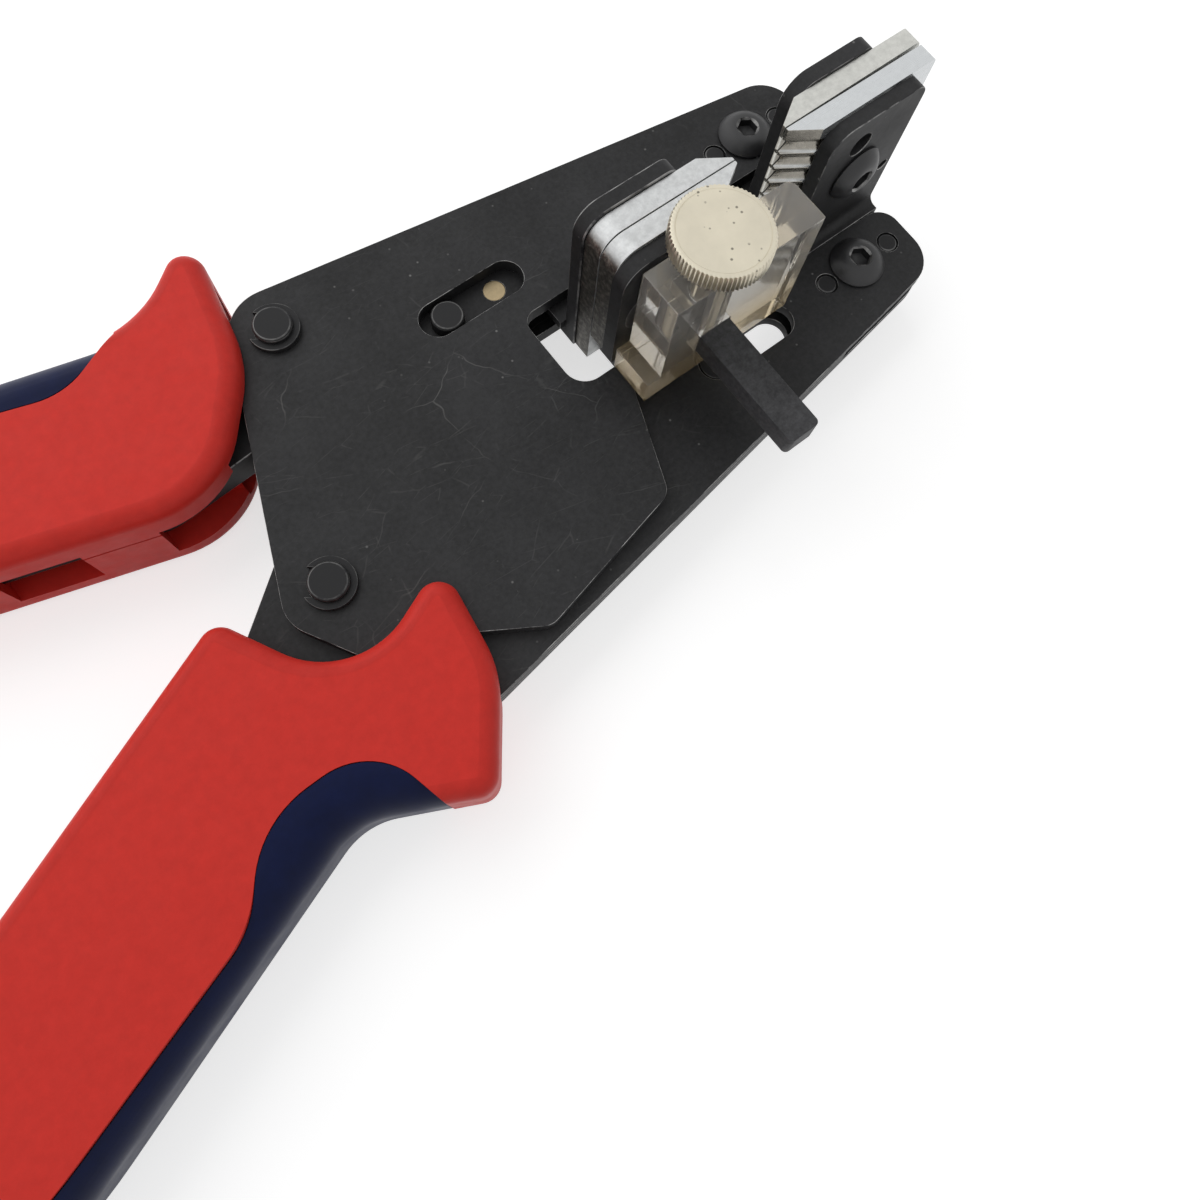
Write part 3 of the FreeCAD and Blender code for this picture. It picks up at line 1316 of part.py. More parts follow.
def make_lower_grip():
    names = ["peak", "valley", "horn", "front", "guard", "neck", "outer", "end_outer", "end_inner", "inner"]
    body = grip_form("lower_grip_form", ["lower_" + name for name in names])
    run = S["lower_guard_x"] - S["lower_neck_x"]
    drop = (S["lower_guard_y"] - S["lower_neck_y"]) / run * S["inlay_lead"]
    chain = [(S["lower_guard_x"] + S["inlay_lead"], S["lower_guard_y"] + drop)]
    chain += [corner("lower_" + name) for name in ["neck", "outer", "end_outer"]]
    soft = inlay_form("lower_inlay_form", chain, S["lower_horn_y"])
    gap = S["tang_gap"]
    room = gap + S["tang_room"]
    heel_x = S["strip_heel_x"]
    front_x = heel_x + BEYOND * 10
    tang = [
        (front_x, -taper_edge(front_x) - gap),
        (heel_x, -taper_edge(heel_x) - gap),
        (S["strip_waist_x"], S["strip_waist_y"] - room),
        (S["strip_tang_low_x"] - gap, S["strip_tang_low_y"] - gap),
        (S["strip_tang_high_x"] - gap, S["strip_tang_high_y"] + gap),
        (S["strip_tang_root_x"] - gap, S["strip_tang_root_y"] + room),
        (S["strip_back_x"] - gap, S["strip_back_y"] + gap),
        (S["strip_crown_x"], S["strip_crown_y"]),
        (front_x, S["strip_crown_y"]),
    ]
    cut_pocket(body, tang, core_high, core_height)
    cut_pocket(soft, tang, core_high, core_height)
    cut_cavity(body, cavity(LOWER_CAVITY, strip_pivot))
    boundary = [corner("lower_inlay_" + name) for name in ["front", "lip", "top", "step", "rear", "end"]]
    split_grip("lower_grip", body, soft, boundary, S["lower_end_outer_y"] - BEYOND * 6, -S["inlay_seam"])


make_frame()
make_clamp_lever()
make_far_carriage()
make_strip_lever()
make_near_carriage()
make_stop()
make_upper_grip()
make_lower_grip()
doc.recompute()

for item in doc.Objects:
    if "Invalid" in item.State or "Error" in item.State:
        raise RuntimeError("%s failed: %s" % (item.Label, item.State))
os.makedirs("parts", exist_ok=True)
for item in nodes:
    if item.Shape.isNull() or not item.Shape.isValid():
        raise RuntimeError("%s has no sound shape" % item.Label)
    item.Shape.exportStep("parts/%s.step" % item.Label)
    box = item.Shape.BoundBox
    print("%-22s %2d solids  X %8.2f %8.2f  Y %7.2f %7.2f  Z %6.2f %6.2f" % (
        item.Label, len(item.Shape.Solids), box.XMin, box.XMax, box.YMin, box.YMax, box.ZMin, box.ZMax))
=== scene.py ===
"""Looks of the wire stripping pliers: finishes, small surface detail, stage and camera."""
import math

import bpy
from bpy.props import FloatProperty, FloatVectorProperty, IntProperty, PointerProperty
from mathutils import Matrix, Vector


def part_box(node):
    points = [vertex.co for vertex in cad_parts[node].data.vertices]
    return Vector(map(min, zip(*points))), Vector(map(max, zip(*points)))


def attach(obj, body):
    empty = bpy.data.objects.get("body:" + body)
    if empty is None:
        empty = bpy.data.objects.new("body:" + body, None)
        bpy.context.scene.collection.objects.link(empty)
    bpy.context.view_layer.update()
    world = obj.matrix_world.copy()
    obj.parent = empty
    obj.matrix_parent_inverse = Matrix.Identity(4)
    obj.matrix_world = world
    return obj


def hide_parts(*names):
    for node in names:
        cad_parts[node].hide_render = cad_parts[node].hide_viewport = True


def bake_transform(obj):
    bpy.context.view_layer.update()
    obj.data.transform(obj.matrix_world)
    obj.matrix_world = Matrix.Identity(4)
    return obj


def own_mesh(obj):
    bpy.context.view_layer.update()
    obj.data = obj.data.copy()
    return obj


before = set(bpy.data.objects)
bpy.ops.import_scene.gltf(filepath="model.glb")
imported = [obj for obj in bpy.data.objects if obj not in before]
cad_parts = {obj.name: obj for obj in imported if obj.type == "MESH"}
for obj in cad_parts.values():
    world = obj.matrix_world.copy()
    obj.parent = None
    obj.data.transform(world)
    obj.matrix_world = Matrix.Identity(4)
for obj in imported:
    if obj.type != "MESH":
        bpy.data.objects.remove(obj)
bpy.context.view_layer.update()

bl_info = {
    "name": "Wire stripping pliers",
    "version": (1, 0, 0),
    "blender": (4, 5, 0),
    "location": "View3D > Sidebar > Pliers",
    "description": "Finishes and stage for a pair of precision wire stripping pliers",
    "category": "Object",
}

MM = 0.001
FULL_TURN = 2.0 * math.pi

# CAD nodes that share a finish
PLATES = ["frame_plate_top", "frame_plate_bottom", "strip_plate_top", "strip_plate_bottom"]
HIDDEN_STEEL = ["strip_spacer", "clamp_lever", "slide_plate_top", "slide_plate_bottom"]
BRACKETS = ["far_front_bracket", "near_front_bracket", "far_rear_bracket", "near_rear_bracket"]
SUNK_SCREWS = ["far_rear_screw", "near_rear_screw"]
NUTS = ["upper_finger_nut", "lower_finger_nut", "lower_finger_washer"]
PINS = [
    "clamp_pivot_pin",
    "strip_pivot_pin",
    "drive_pin",
    "guide_pin",
    "upper_finger_dowels",
    "lower_finger_dowels",
]
RINGS = ["clamp_pivot_rings", "strip_pivot_rings"]
INNER_STEEL = ["spring_post", "tang_rivets"]
GRIPS = ["upper_grip", "lower_grip"]

# Screws made here: node, body and the way that the head points
DOMED_SCREWS = [
    ("upper_finger_screw", "frame", (0, 0, 1)),
    ("lower_finger_screw", "strip_arm", (0, 0, 1)),
    ("far_front_screw", "frame", (0, 1, 0)),
    ("near_front_screw", "strip_arm", (0, -1, 0)),
]

# Softened edges of the CAD nodes
WELD_REACH = 0.002 * MM
FLAT_ANGLE = math.radians(0.6)
ROUND_SEGMENTS = 3
STEEL_CORNER = math.radians(28.0)
GRIP_CORNER = math.radians(35.0)
FACE_REACH = 0.01 * MM

# Fineness of the pieces made here
SMOOTH_ANGLE = math.radians(30.0)
SCREW_SIDES = 96
DOME_STEPS = 12
RIDGE_POINTS = 8
THREAD_STEPS = 6
COIL_STEPS = 28
WIRE_SIDES = 12
LEAF_STEPS = 40
TIP_STEPS = 6

# Proportions of the pieces made here, as shares of the size that each belongs to
POINT_WIDTH = 0.85
POINT_LENGTH = 0.15
RIM_HEIGHT = 0.18
RIM_UNDERCUT = 0.4
SOCKET_BEND = 0.16
SOCKET_POINT = 0.125
SHALLOW_RIDGE = 0.4
CHAMFER_ROUND = (0.5, 0.15)
CHAMFER_END = 1.2
GROOVE_PLACE = 0.875
GROOVE_SLOPE = 0.005
GROOVE_DEPTH = 0.12
CAP_MIDDLE = 0.3
CLOSED_PITCH = 1.05
TIP_LENGTH = 0.8
TIP_SWEEP = math.radians(80.0)

# Where the upper plate is handled most, as shares of its length and width
HANDLED_PLACE = (0.28, 0.38)
HANDLED_NEAR = 14.0 * MM
HANDLED_FAR = 42.0 * MM
# Fine scuffs of the plates: lines in each metre, stretch and turn
SCUFFS = [(230.0, 0.35, 0.9), (300.0, 0.30, 2.4), (200.0, 0.40, -0.4)]
# Scratches: bends in each metre, share of the width that is bare, breaks for each line
SCRATCH_BENDS = 160.0
SCRATCH_CORE = 0.25
SCRATCH_BREAKS = 1.4
# Values between which most of a noise lies
NOISE_SPAN = (0.3, 0.7)
# Painted shade on the blade faces turned towards the rear: middle of its shades and how softly it
# starts
END_SHADE_TONE = 1.4
END_SHADE_FADE = 0.2
# How far up the clear block the yellowing reaches
AGED_SHARE = 0.55

WHITE = (1.0, 1.0, 1.0, 1.0)
# Camera: sensor in millimetres, nearest thing seen in metres
SENSOR_WIDTH = 36.0
NEAR_CLIP = 1.0 * MM


class StripperLooks(bpy.types.PropertyGroup):
    """Colours and edges of the finishes."""

    black: FloatVectorProperty(
        name="Black steel",
        description="Burnished black steel of the plates",
        subtype="COLOR",
        default=(0.0150, 0.0150, 0.0158),
    )
    worn: FloatVectorProperty(
        name="Worn edge",
        description="Steel showing on rubbed edges and in hairline scratches",
        subtype="COLOR",
        default=(0.105, 0.104, 0.102),
    )
    red: FloatVectorProperty(
        name="Grip red",
        description="Hard plastic of the grips",
        subtype="COLOR",
        default=(0.68, 0.036, 0.026),
    )
    blue: FloatVectorProperty(
        name="Inlay blue",
        description="Soft inlays of the grips",
        subtype="COLOR",
        default=(0.004, 0.008, 0.042),
    )
    steel: FloatVectorProperty(
        name="Blade steel",
        description="Ground steel of the blades",
        subtype="COLOR",
        default=(0.62, 0.63, 0.63),
    )
    # Painted shade: the dark colour given to the blade faces turned towards the rear, for the shade
    # that falls there
    painted_end_shade: FloatVectorProperty(
        name="Blade end",
        description="Rough ends of the blades",
        subtype="COLOR",
        default=(0.085, 0.080, 0.070),
    )
    nickel: FloatVectorProperty(
        name="Nickel",
        description="Plating of the thumb screw",
        subtype="COLOR",
        default=(0.66, 0.61, 0.49),
    )
    brass: FloatVectorProperty(
        name="Brass",
        description="Slide rivet",
        subtype="COLOR",
        default=(0.38, 0.30, 0.18),
    )
    clear: FloatVectorProperty(
        name="Clear block",
        description="Acrylic of the length stop",
        subtype="COLOR",
        default=(0.84, 0.82, 0.78),
    )
    amber: FloatVectorProperty(
        name="Aged edge",
        description="Yellowed lower edges of the acrylic",
        subtype="COLOR",
        default=(0.74, 0.59, 0.35),
    )
    edge_round: FloatProperty(
        name="Inner rounding",
        description="Rounding of the stamped steel inside",
        unit="LENGTH",
        default=0.18 * MM,
    )
    plate_round: FloatProperty(
        name="Plate rounding",
        description="Rounding of the frame plates and strip lever plates",
        unit="LENGTH",
        default=0.234 * MM,
    )
    bracket_round: FloatProperty(
        name="Bracket rounding",
        description="Rounding of the jaw brackets and the stop bar",
        unit="LENGTH",
        default=0.54 * MM,
    )
    grip_round: FloatProperty(
        name="Grip rounding",
        description="Rounding of the grips and inlays",
        unit="LENGTH",
        default=0.36 * MM,
    )
    fine_round: FloatProperty(
        name="Fine rounding",
        description="Rounding of turned and ground edges",
        unit="LENGTH",
        default=0.10 * MM,
    )
    seam_close: FloatProperty(
        name="Seam closing",
        description="How far each blade is brought towards the seam",
        unit="LENGTH",
        default=0.13 * MM,
    )


class StripperKnob(bpy.types.PropertyGroup):
    """Sizes of the knurled thumb screw."""

    ridges: IntProperty(
        name="Knurl ridges",
        description="Ridges round the knob",
        default=72,
    )
    ridge_depth: FloatProperty(
        name="Ridge depth",
        description="Depth of the ridges on the knob",
        unit="LENGTH",
        default=0.30 * MM,
    )
    height: FloatProperty(
        name="Knob height",
        description="Height of the knurled rim",
        unit="LENGTH",
        default=2.6 * MM,
    )
    neck_height: FloatProperty(
        name="Neck height",
        description="Height of the neck under the knob",
        unit="LENGTH",
        default=2.3 * MM,
    )
    neck_width: FloatProperty(
        name="Neck width",
        description="Diameter of the neck under the knob",
        unit="LENGTH",
        default=6.0 * MM,
    )
    chamfer: FloatProperty(
        name="Rim chamfer",
        description="Chamfer of the knurled rim",
        unit="LENGTH",
        default=0.32 * MM,
    )
    thread_width: FloatProperty(
        name="Thread width",
        description="Outer diameter of the thread",
        unit="LENGTH",
        default=4.0 * MM,
    )
    thread_pitch: FloatProperty(
        name="Thread pitch",
        description="Pitch of the thread",
        unit="LENGTH",
        default=0.7 * MM,
    )
    thread_depth: FloatProperty(
        name="Thread depth",
        description="Depth of the thread",
        unit="LENGTH",
        default=0.36 * MM,
    )


class StripperScrews(bpy.types.PropertyGroup):
    """Sizes of the button head screws."""

    head_height: FloatProperty(
        name="Head height",
        description="Height of the heads in the CAD",
        unit="LENGTH",
        default=2.2 * MM,
    )
    head_drop: FloatProperty(
        name="Head drop",
        description="How much lower the domes are than the heads of the CAD",
        unit="LENGTH",
        default=0.45 * MM,
    )
    head_flat: FloatProperty(
        name="Head flat",
        description="Diameter of the flat round the socket",
        unit="LENGTH",
        default=3.5 * MM,
    )
    dome_start: FloatProperty(
        name="Dome start",
        description="Angle of its arc at which the dome leaves the rim",
        subtype="ANGLE",
        default=math.radians(47.0),
    )
    shank_width: FloatProperty(
        name="Shank width",
        description="Diameter of the shanks",
        unit="LENGTH",
        default=4.0 * MM,
    )
    socket_chamfer: FloatProperty(
        name="Socket chamfer",
        description="Diameter of the chamfer round the socket",
        unit="LENGTH",
        default=3.2 * MM,
    )
    socket_width: FloatProperty(
        name="Socket width",
        description="Hexagon socket across its flats",
        unit="LENGTH",
        default=2.5 * MM,
    )
    socket_depth: FloatProperty(
        name="Socket depth",
        description="Depth of the hexagon socket",
        unit="LENGTH",
        default=1.3 * MM,
    )


class StripperSprings(bpy.types.PropertyGroup):
    """Sizes of the springs."""

    wire: FloatProperty(
        name="Coil wire",
        description="Wire of the coil spring",
        unit="LENGTH",
        default=0.55 * MM,
    )
    open_turns: FloatProperty(
        name="Open turns",
        description="Turns of the coil between its closed end turns",
        default=5.3,
    )
    leaf_seat: FloatProperty(
        name="Leaf seat",
        description="Length of the leaf that is held in the lever",
        unit="LENGTH",
        default=5.0 * MM,
    )
    leaf_edge: FloatProperty(
        name="Leaf edge",
        description="Broken edge of the leaf",
        unit="LENGTH",
        default=0.14 * MM,
    )


class StripperStage(bpy.types.PropertyGroup):
    """Camera, floor and lights."""

    lens: FloatProperty(
        name="Lens",
        description="Focal length of the camera in millimetres",
        default=28.26,
    )
    camera_place: FloatVectorProperty(
        name="Camera place",
        description="Camera position over the tool",
        unit="LENGTH",
        default=(3.893 * MM, -43.640 * MM, 120.2 * MM),
    )
    camera_right: FloatVectorProperty(
        name="Camera right",
        description="Direction to the right of the picture",
        subtype="XYZ",
        default=(0.7873, -0.6120, 0.0754),
    )
    camera_back: FloatVectorProperty(
        name="Camera back",
        description="Direction from the tool towards the camera",
        subtype="XYZ",
        default=(-0.2154, -0.1583, 0.9636),
    )
    floor_colour: FloatVectorProperty(
        name="Floor",
        description="Colour of the pale floor",
        subtype="COLOR",
        default=(0.62, 0.62, 0.62),
    )
    floor_white: FloatProperty(
        name="Floor white",
        description="White that the camera, metal and glass see on the floor",
        subtype="FACTOR",
        default=0.66,
    )
    floor_reach: FloatProperty(
        name="Floor reach",
        description="Half the side of the floor",
        unit="LENGTH",
        default=5.0,
    )
    lamp_place: FloatVectorProperty(
        name="Lamp place",
        description="Where the key light and the fill light hang",
        unit="LENGTH",
        default=(-0.06, 0.38, 0.36),
    )
    lamp_aim: FloatVectorProperty(
        name="Lamp aim",
        description="Point that the lamps are turned to",
        unit="LENGTH",
        default=(-0.01, 0.02, 0.0),
    )
    lamp_size: FloatProperty(
        name="Lamp size",
        description="Side of the square lamps",
        unit="LENGTH",
        default=0.6,
    )
    key_power: FloatProperty(
        name="Key light",
        description="Power of the soft key light in watts",
        default=0.60,
    )
    fill_power: FloatProperty(
        name="Fill light",
        description="Power of the light that no surface mirrors, in watts",
        default=1.30,
    )
    sky: FloatProperty(
        name="Room light",
        description="Strength of the even room light",
        default=0.42,
    )


class Shader:
    """A material under construction: adds nodes and joins sockets."""

    def __init__(self, name):
        self.material = bpy.data.materials.new(name)
        self.material.use_nodes = True
        self.tree = self.material.node_tree
        self.main = self.tree.nodes["Principled BSDF"]
        self.coordinates = self.node("ShaderNodeTexCoord")
        self.place = self.coordinates.outputs["Object"]

    def node(self, kind, **values):
        """Add a node; values set its own properties."""
        made = self.tree.nodes.new(kind)
        for key, value in values.items():
            setattr(made, key, value)
        return made

    def join(self, output, target):
        """Link an output to an input."""
        self.tree.links.new(output, target)

    def set(self, **values):
        """Set sockets of the main shader, underscores standing for spaces."""
        for key, value in values.items():
            self.main.inputs[key.replace("_", " ")].default_value = value

    def feed(self, **outputs):
        """Link outputs to sockets of the main shader, underscores standing for spaces."""
        for key, output in outputs.items():
            self.join(output, self.main.inputs[key.replace("_", " ")])

    def stretched(self, scale, turn=0.0):
        """Object coordinates scaled by three factors and turned about Z."""
        mapping = self.node("ShaderNodeMapping")
        mapping.inputs["Scale"].default_value = scale
        mapping.inputs["Rotation"].default_value = (0.0, 0.0, turn)
        self.join(self.place, mapping.inputs["Vector"])
        return mapping.outputs["Vector"]

    def noise(self, scale, detail=3.0, rough=0.55, where=None):
        """Noise value; scale counts features in each metre."""
        made = self.node("ShaderNodeTexNoise")
        made.inputs["Scale"].default_value = scale
        made.inputs["Detail"].default_value = detail
        made.inputs["Roughness"].default_value = rough
        self.join(where or self.place, made.inputs["Vector"])
        return made.outputs["Fac"]

    def spots(self, scale):
        """Distance to the nearest of scattered points."""
        made = self.node("ShaderNodeTexVoronoi")
        made.inputs["Scale"].default_value = scale
        self.join(self.place, made.inputs["Vector"])
        return made.outputs["Distance"]

    def bent(self, where, scale, amount, detail=3.0):
        """Coordinates that wander by a soft noise."""
        noise = self.node("ShaderNodeTexNoise")
        noise.inputs["Scale"].default_value = scale
        noise.inputs["Detail"].default_value = detail
        self.join(where, noise.inputs["Vector"])
        away = self.node("ShaderNodeVectorMath", operation="SCALE")
        away.inputs["Scale"].default_value = amount
        self.join(noise.outputs["Color"], away.inputs[0])
        moved = self.node("ShaderNodeVectorMath", operation="ADD")
        self.join(where, moved.inputs[0])
        self.join(away.outputs["Vector"], moved.inputs[1])
        return moved.outputs["Vector"]

    def seams(self, scale, where):
        """Distance to the borders between scattered cells."""
        made = self.node("ShaderNodeTexVoronoi", feature="DISTANCE_TO_EDGE")
        made.inputs["Scale"].default_value = scale
        self.join(where, made.inputs["Vector"])
        return made.outputs["Distance"]

    def away_from(self, point):
        """Distance from a point of the object."""
        made = self.node("ShaderNodeVectorMath", operation="DISTANCE")
        made.inputs[1].default_value = point
        self.join(self.place, made.inputs[0])
        return made.outputs["Value"]

    def part(self, vector, axis):
        """One of the three numbers of a vector."""
        made = self.node("ShaderNodeSeparateXYZ")
        self.join(vector, made.inputs["Vector"])
        return made.outputs[axis]

    def facing(self, axis):
        """How far the surface faces along an axis of the object."""
        return self.part(self.coordinates.outputs["Normal"], axis)

    def height(self):
        """Height over the table, with the tool at rest."""
        return self.part(self.place, "Z")

    def ramp(self, value, low, high, first=0.0, last=1.0):
        """Map a value range to a new range, clamped."""
        made = self.node("ShaderNodeMapRange")
        made.inputs["From Min"].default_value = low
        made.inputs["From Max"].default_value = high
        made.inputs["To Min"].default_value = first
        made.inputs["To Max"].default_value = last
        self.join(value, made.inputs["Value"])
        return made.outputs["Result"]

    def spread(self, noise, first=0.0, last=1.0):
        """Stretch a noise over a whole range."""
        return self.ramp(noise, *NOISE_SPAN, first, last)

    def math(self, kind, one, two):
        """Combine two values (numbers or sockets)."""
        made = self.node("ShaderNodeMath", operation=kind)
        for socket, value in zip(made.inputs, (one, two)):
            if isinstance(value, (int, float)):
                socket.default_value = value
            else:
                self.join(value, socket)
        return made.outputs["Value"]

    def mix(self, share, one, two):
        """Blend two colours (tuples or sockets) by a share."""
        made = self.node("ShaderNodeMix", data_type="RGBA")
        self.join(share, made.inputs["Factor"])
        for name, value in (("A", one), ("B", two)):
            socket = [s for s in made.inputs if s.name == name and s.type == "RGBA"][0]
            if isinstance(value, tuple):
                socket.default_value = value
            else:
                self.join(value, socket)
        return [s for s in made.outputs if s.type == "RGBA"][0]

    def shades(self, share, colour, low, high):
        """Blend two shades of one colour by a share."""
        return self.mix(share, solid(colour, low), solid(colour, high))

    def bump(self, height, strength, distance):
        """Roughen the surface by a height."""
        made = self.node("ShaderNodeBump")
        made.inputs["Strength"].default_value = strength
        made.inputs["Distance"].default_value = distance
        self.join(height, made.inputs["Height"])
        self.feed(Normal=made.outputs["Normal"])


def shade(colour, factor):
    """A colour lightened or darkened by a factor."""
    return tuple(channel * factor for channel in colour)


def solid(colour, factor=1.0):
    """A shade of a colour as four numbers."""
    return shade(colour, factor) + (1.0,)


def hairlines(shader, scale, stretch, turn, width, wander, amount):
    """Thin crooked scratches, broken into pieces."""
    where = shader.bent(shader.stretched((stretch, 1.0, 1.0), turn), SCRATCH_BENDS, wander)
    lines = shader.ramp(shader.seams(scale, where), width * SCRATCH_CORE, width, 1.0, 0.0)
    pieces = shader.ramp(shader.noise(scale * SCRATCH_BREAKS, detail=4.0), 0.50, 0.62)
    return shader.math("MULTIPLY", shader.math("MULTIPLY", lines, pieces), amount)


def handling_marks(shader, handled):
    """Scratches and scuffs that thin out away from a handled place."""
    marks = hairlines(shader, 52.0, 0.8, 0.5, width=0.0042, wander=0.003, amount=0.75)
    for scale, stretch, turn in SCUFFS:
        scuffs = hairlines(shader, scale, stretch, turn, width=0.012, wander=0.001, amount=0.26)
        marks = shader.math("ADD", marks, scuffs)
    near = shader.ramp(shader.away_from(handled), HANDLED_NEAR, HANDLED_FAR, 1.0, 0.25)
    return shader.math("MULTIPLY", marks, near)


def black_steel(looks, name, handled=None, lift=1.0):
    """Burnished black steel, cloudy and specked, with marks round a place that is handled."""
    shader = Shader(name)
    clouds = shader.math("MULTIPLY", shader.noise(55.0, detail=6.0, rough=0.62), 0.55)
    grain = shader.math("MULTIPLY", shader.noise(1500.0, rough=0.7), 0.45)
    tone = shader.ramp(shader.math("ADD", clouds, grain), 0.38, 0.62)
    colour = shader.shades(tone, looks.black, 0.48 * lift, 1.60 * lift)
    if handled is not None:
        colour = shader.mix(handling_marks(shader, handled), colour, solid(looks.worn, 0.95))
    specks = shader.ramp(shader.spots(420.0), 0.085, 0.03)
    patches = shader.ramp(shader.noise(90.0), 0.46, 0.60, 0.0, 0.8)
    thinned = shader.math("MULTIPLY", specks, patches)
    shader.set(IOR=1.5, Specular_IOR_Level=0.30)
    shader.feed(
        Base_Color=shader.mix(thinned, colour, solid(looks.worn, 2.0)),
        Roughness=shader.spread(shader.noise(130.0, detail=5.0, rough=0.6), 0.46, 0.60),
    )
    shader.bump(shader.noise(2400.0, detail=2.0), strength=0.10, distance=0.02 * MM)
    return shader.material


def worn_and_glinting_edge(looks, name, bare):
    """Rubbed steel on edges, broken up by what is left of the black, and lightened past the worn
    steel as a painted highlight along the edges.
    """
    shader = Shader(name)
    left = shader.ramp(shader.noise(260.0, detail=5.0, rough=0.7), 0.40, 0.62)
    shader.set(Metallic=0.8, Roughness=0.38)
    # The bare factor is partly real rubbed steel and partly painted highlight, for the glint along
    # the rounded edges
    shader.feed(Base_Color=shader.mix(left, solid(looks.black, 2.0), solid(looks.worn, bare)))
    return shader.material


def red_plastic(looks):
    """Hard plastic with a fine moulded grain."""
    shader = Shader("red_plastic")
    tone = shader.spread(shader.noise(700.0, detail=5.0, rough=0.65))
    shader.set(IOR=1.5, Specular_IOR_Level=0.22)
    shader.feed(
        Base_Color=shader.shades(tone, looks.red, 0.93, 1.05),
        Roughness=shader.spread(shader.noise(420.0), 0.40, 0.52),
    )
    shader.bump(shader.noise(1900.0, detail=4.0, rough=0.6), strength=0.30, distance=0.05 * MM)
    return shader.material


def blue_soft(looks):
    """Soft overmould with a low gloss."""
    shader = Shader("blue_soft")
    tone = shader.spread(shader.noise(420.0, detail=4.0, rough=0.6))
    shader.set(IOR=1.5, Specular_IOR_Level=0.12)
    shader.feed(
        Base_Color=shader.shades(tone, looks.blue, 0.85, 1.15),
        Roughness=shader.spread(shader.noise(260.0), 0.36, 0.46),
    )
    shader.bump(shader.noise(1600.0), strength=0.18, distance=0.03 * MM)
    return shader.material


def ground_steel(looks, name, tint, grain, rough, shade_from, shade_level, shade_fleck):
    """Ground steel with grind lines along the blade, and painted shade on the faces turned towards
    the rear.

    One argument gives the facing at which the painted shade starts, and two more set its shades.
    """
    shader = Shader(name)
    lines = shader.noise(1500.0, rough=0.6, where=shader.stretched((0.05, 1.0, 1.0)))
    cells = shader.noise(1300.0, detail=4.0, rough=0.7)
    steel = tuple(channel * share for channel, share in zip(looks.steel, tint))
    colour = shader.shades(shader.ramp(cells, 0.35, 0.65), steel, 1.0 - 0.16 * grain, 1.04)
    darker = (END_SHADE_TONE - shade_fleck) * shade_level
    lighter = (END_SHADE_TONE + shade_fleck) * shade_level
    # Painted shade: faces turned towards the rear take a dark colour in place of the lit steel
    end_shade_colour = shader.shades(shader.ramp(cells, 0.45, 0.72), looks.painted_end_shade, darker, lighter)
    end_shade_mask = shader.ramp(shader.facing("X"), shade_from, shade_from + END_SHADE_FADE, 1.0, 0.0)
    shader.set(Metallic=0.85)
    shader.feed(
        Base_Color=shader.mix(end_shade_mask, colour, end_shade_colour),
        Roughness=shader.spread(lines, rough - 0.06, rough + 0.10),
    )
    relief = shader.math("ADD", shader.math("MULTIPLY", cells, grain), lines)
    shader.bump(relief, strength=0.5 * grain + 0.1, distance=0.05 * MM)
    return shader.material


def plain_metal(name, colour, metallic, rough, scale=700.0, gloss=0.5):
    """A turned metal surface with a little tone and roughness variation."""
    shader = Shader(name)
    tone = shader.spread(shader.noise(scale, detail=4.0, rough=0.6))
    shader.set(Metallic=metallic, Specular_IOR_Level=gloss)
    shader.feed(
        Base_Color=shader.shades(tone, colour, 0.82, 1.1),
        Roughness=shader.ramp(tone, 0.0, 1.0, rough - 0.05, rough + 0.08),
    )
    shader.bump(tone, strength=0.15, distance=0.02 * MM)
    return shader.material


def pitted_nickel(looks):
    """Satin nickel with small pits."""
    shader = Shader("nickel")
    pits = shader.ramp(shader.spots(900.0), 0.17, 0.10)
    thinned = shader.math("MULTIPLY", pits, shader.ramp(shader.noise(240.0), 0.50, 0.56))
    tone = shader.spread(shader.noise(240.0, detail=5.0, rough=0.6))
    base = shader.shades(tone, looks.nickel, 0.93, 1.05)
    shader.set(Metallic=0.9)
    shader.feed(
        Base_Color=shader.mix(thinned, base, solid(looks.nickel, 0.36)),
        Roughness=shader.ramp(tone, 0.0, 1.0, 0.30, 0.42),
    )
    shader.bump(shader.math("SUBTRACT", 1.0, thinned), strength=0.35, distance=0.03 * MM)
    return shader.material


def clear_acrylic(looks, low, high):
    """Acrylic, a little hazed, yellowed towards its lower edges."""
    shader = Shader("clear_acrylic")
    haze = shader.spread(shader.noise(210.0))
    body = shader.shades(haze, looks.clear, 1.04, 0.94)
    aged = shader.ramp(shader.height(), low, low + (high - low) * AGED_SHARE, 1.0, 0.0)
    shader.set(IOR=1.49, Transmission_Weight=0.84)
    shader.feed(
        Base_Color=shader.mix(aged, body, solid(looks.amber)),
        Roughness=shader.ramp(haze, 0.0, 1.0, 0.03, 0.09),
    )
    shader.bump(shader.noise(500.0, detail=2.0), strength=0.08, distance=0.02 * MM)
    return shader.material


def dress(name, material, edge=None, rounding=0.0, corner=STEEL_CORNER):
    """Give a CAD node its finish and softened edges."""
    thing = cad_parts[name]
    thing.data.materials.clear()
    thing.data.materials.append(material)
    for polygon in thing.data.polygons:
        polygon.material_index = 0
        polygon.use_smooth = True
    weld = thing.modifiers.new("weld", "WELD")
    weld.merge_threshold = WELD_REACH
    if rounding > 0.0:
        flat = thing.modifiers.new("flat", "DECIMATE")
        flat.decimate_type = "DISSOLVE"
        flat.angle_limit = FLAT_ANGLE
        bevel = thing.modifiers.new("round", "BEVEL")
        bevel.width = rounding
        bevel.segments = ROUND_SEGMENTS
        bevel.limit_method = "ANGLE"
        bevel.angle_limit = corner
        bevel.harden_normals = True
        bevel.use_clamp_overlap = True
        if edge is not None:
            thing.data.materials.append(edge)
            bevel.material = 1
    normals = thing.modifiers.new("normals", "WEIGHTED_NORMAL")
    normals.keep_sharp = True


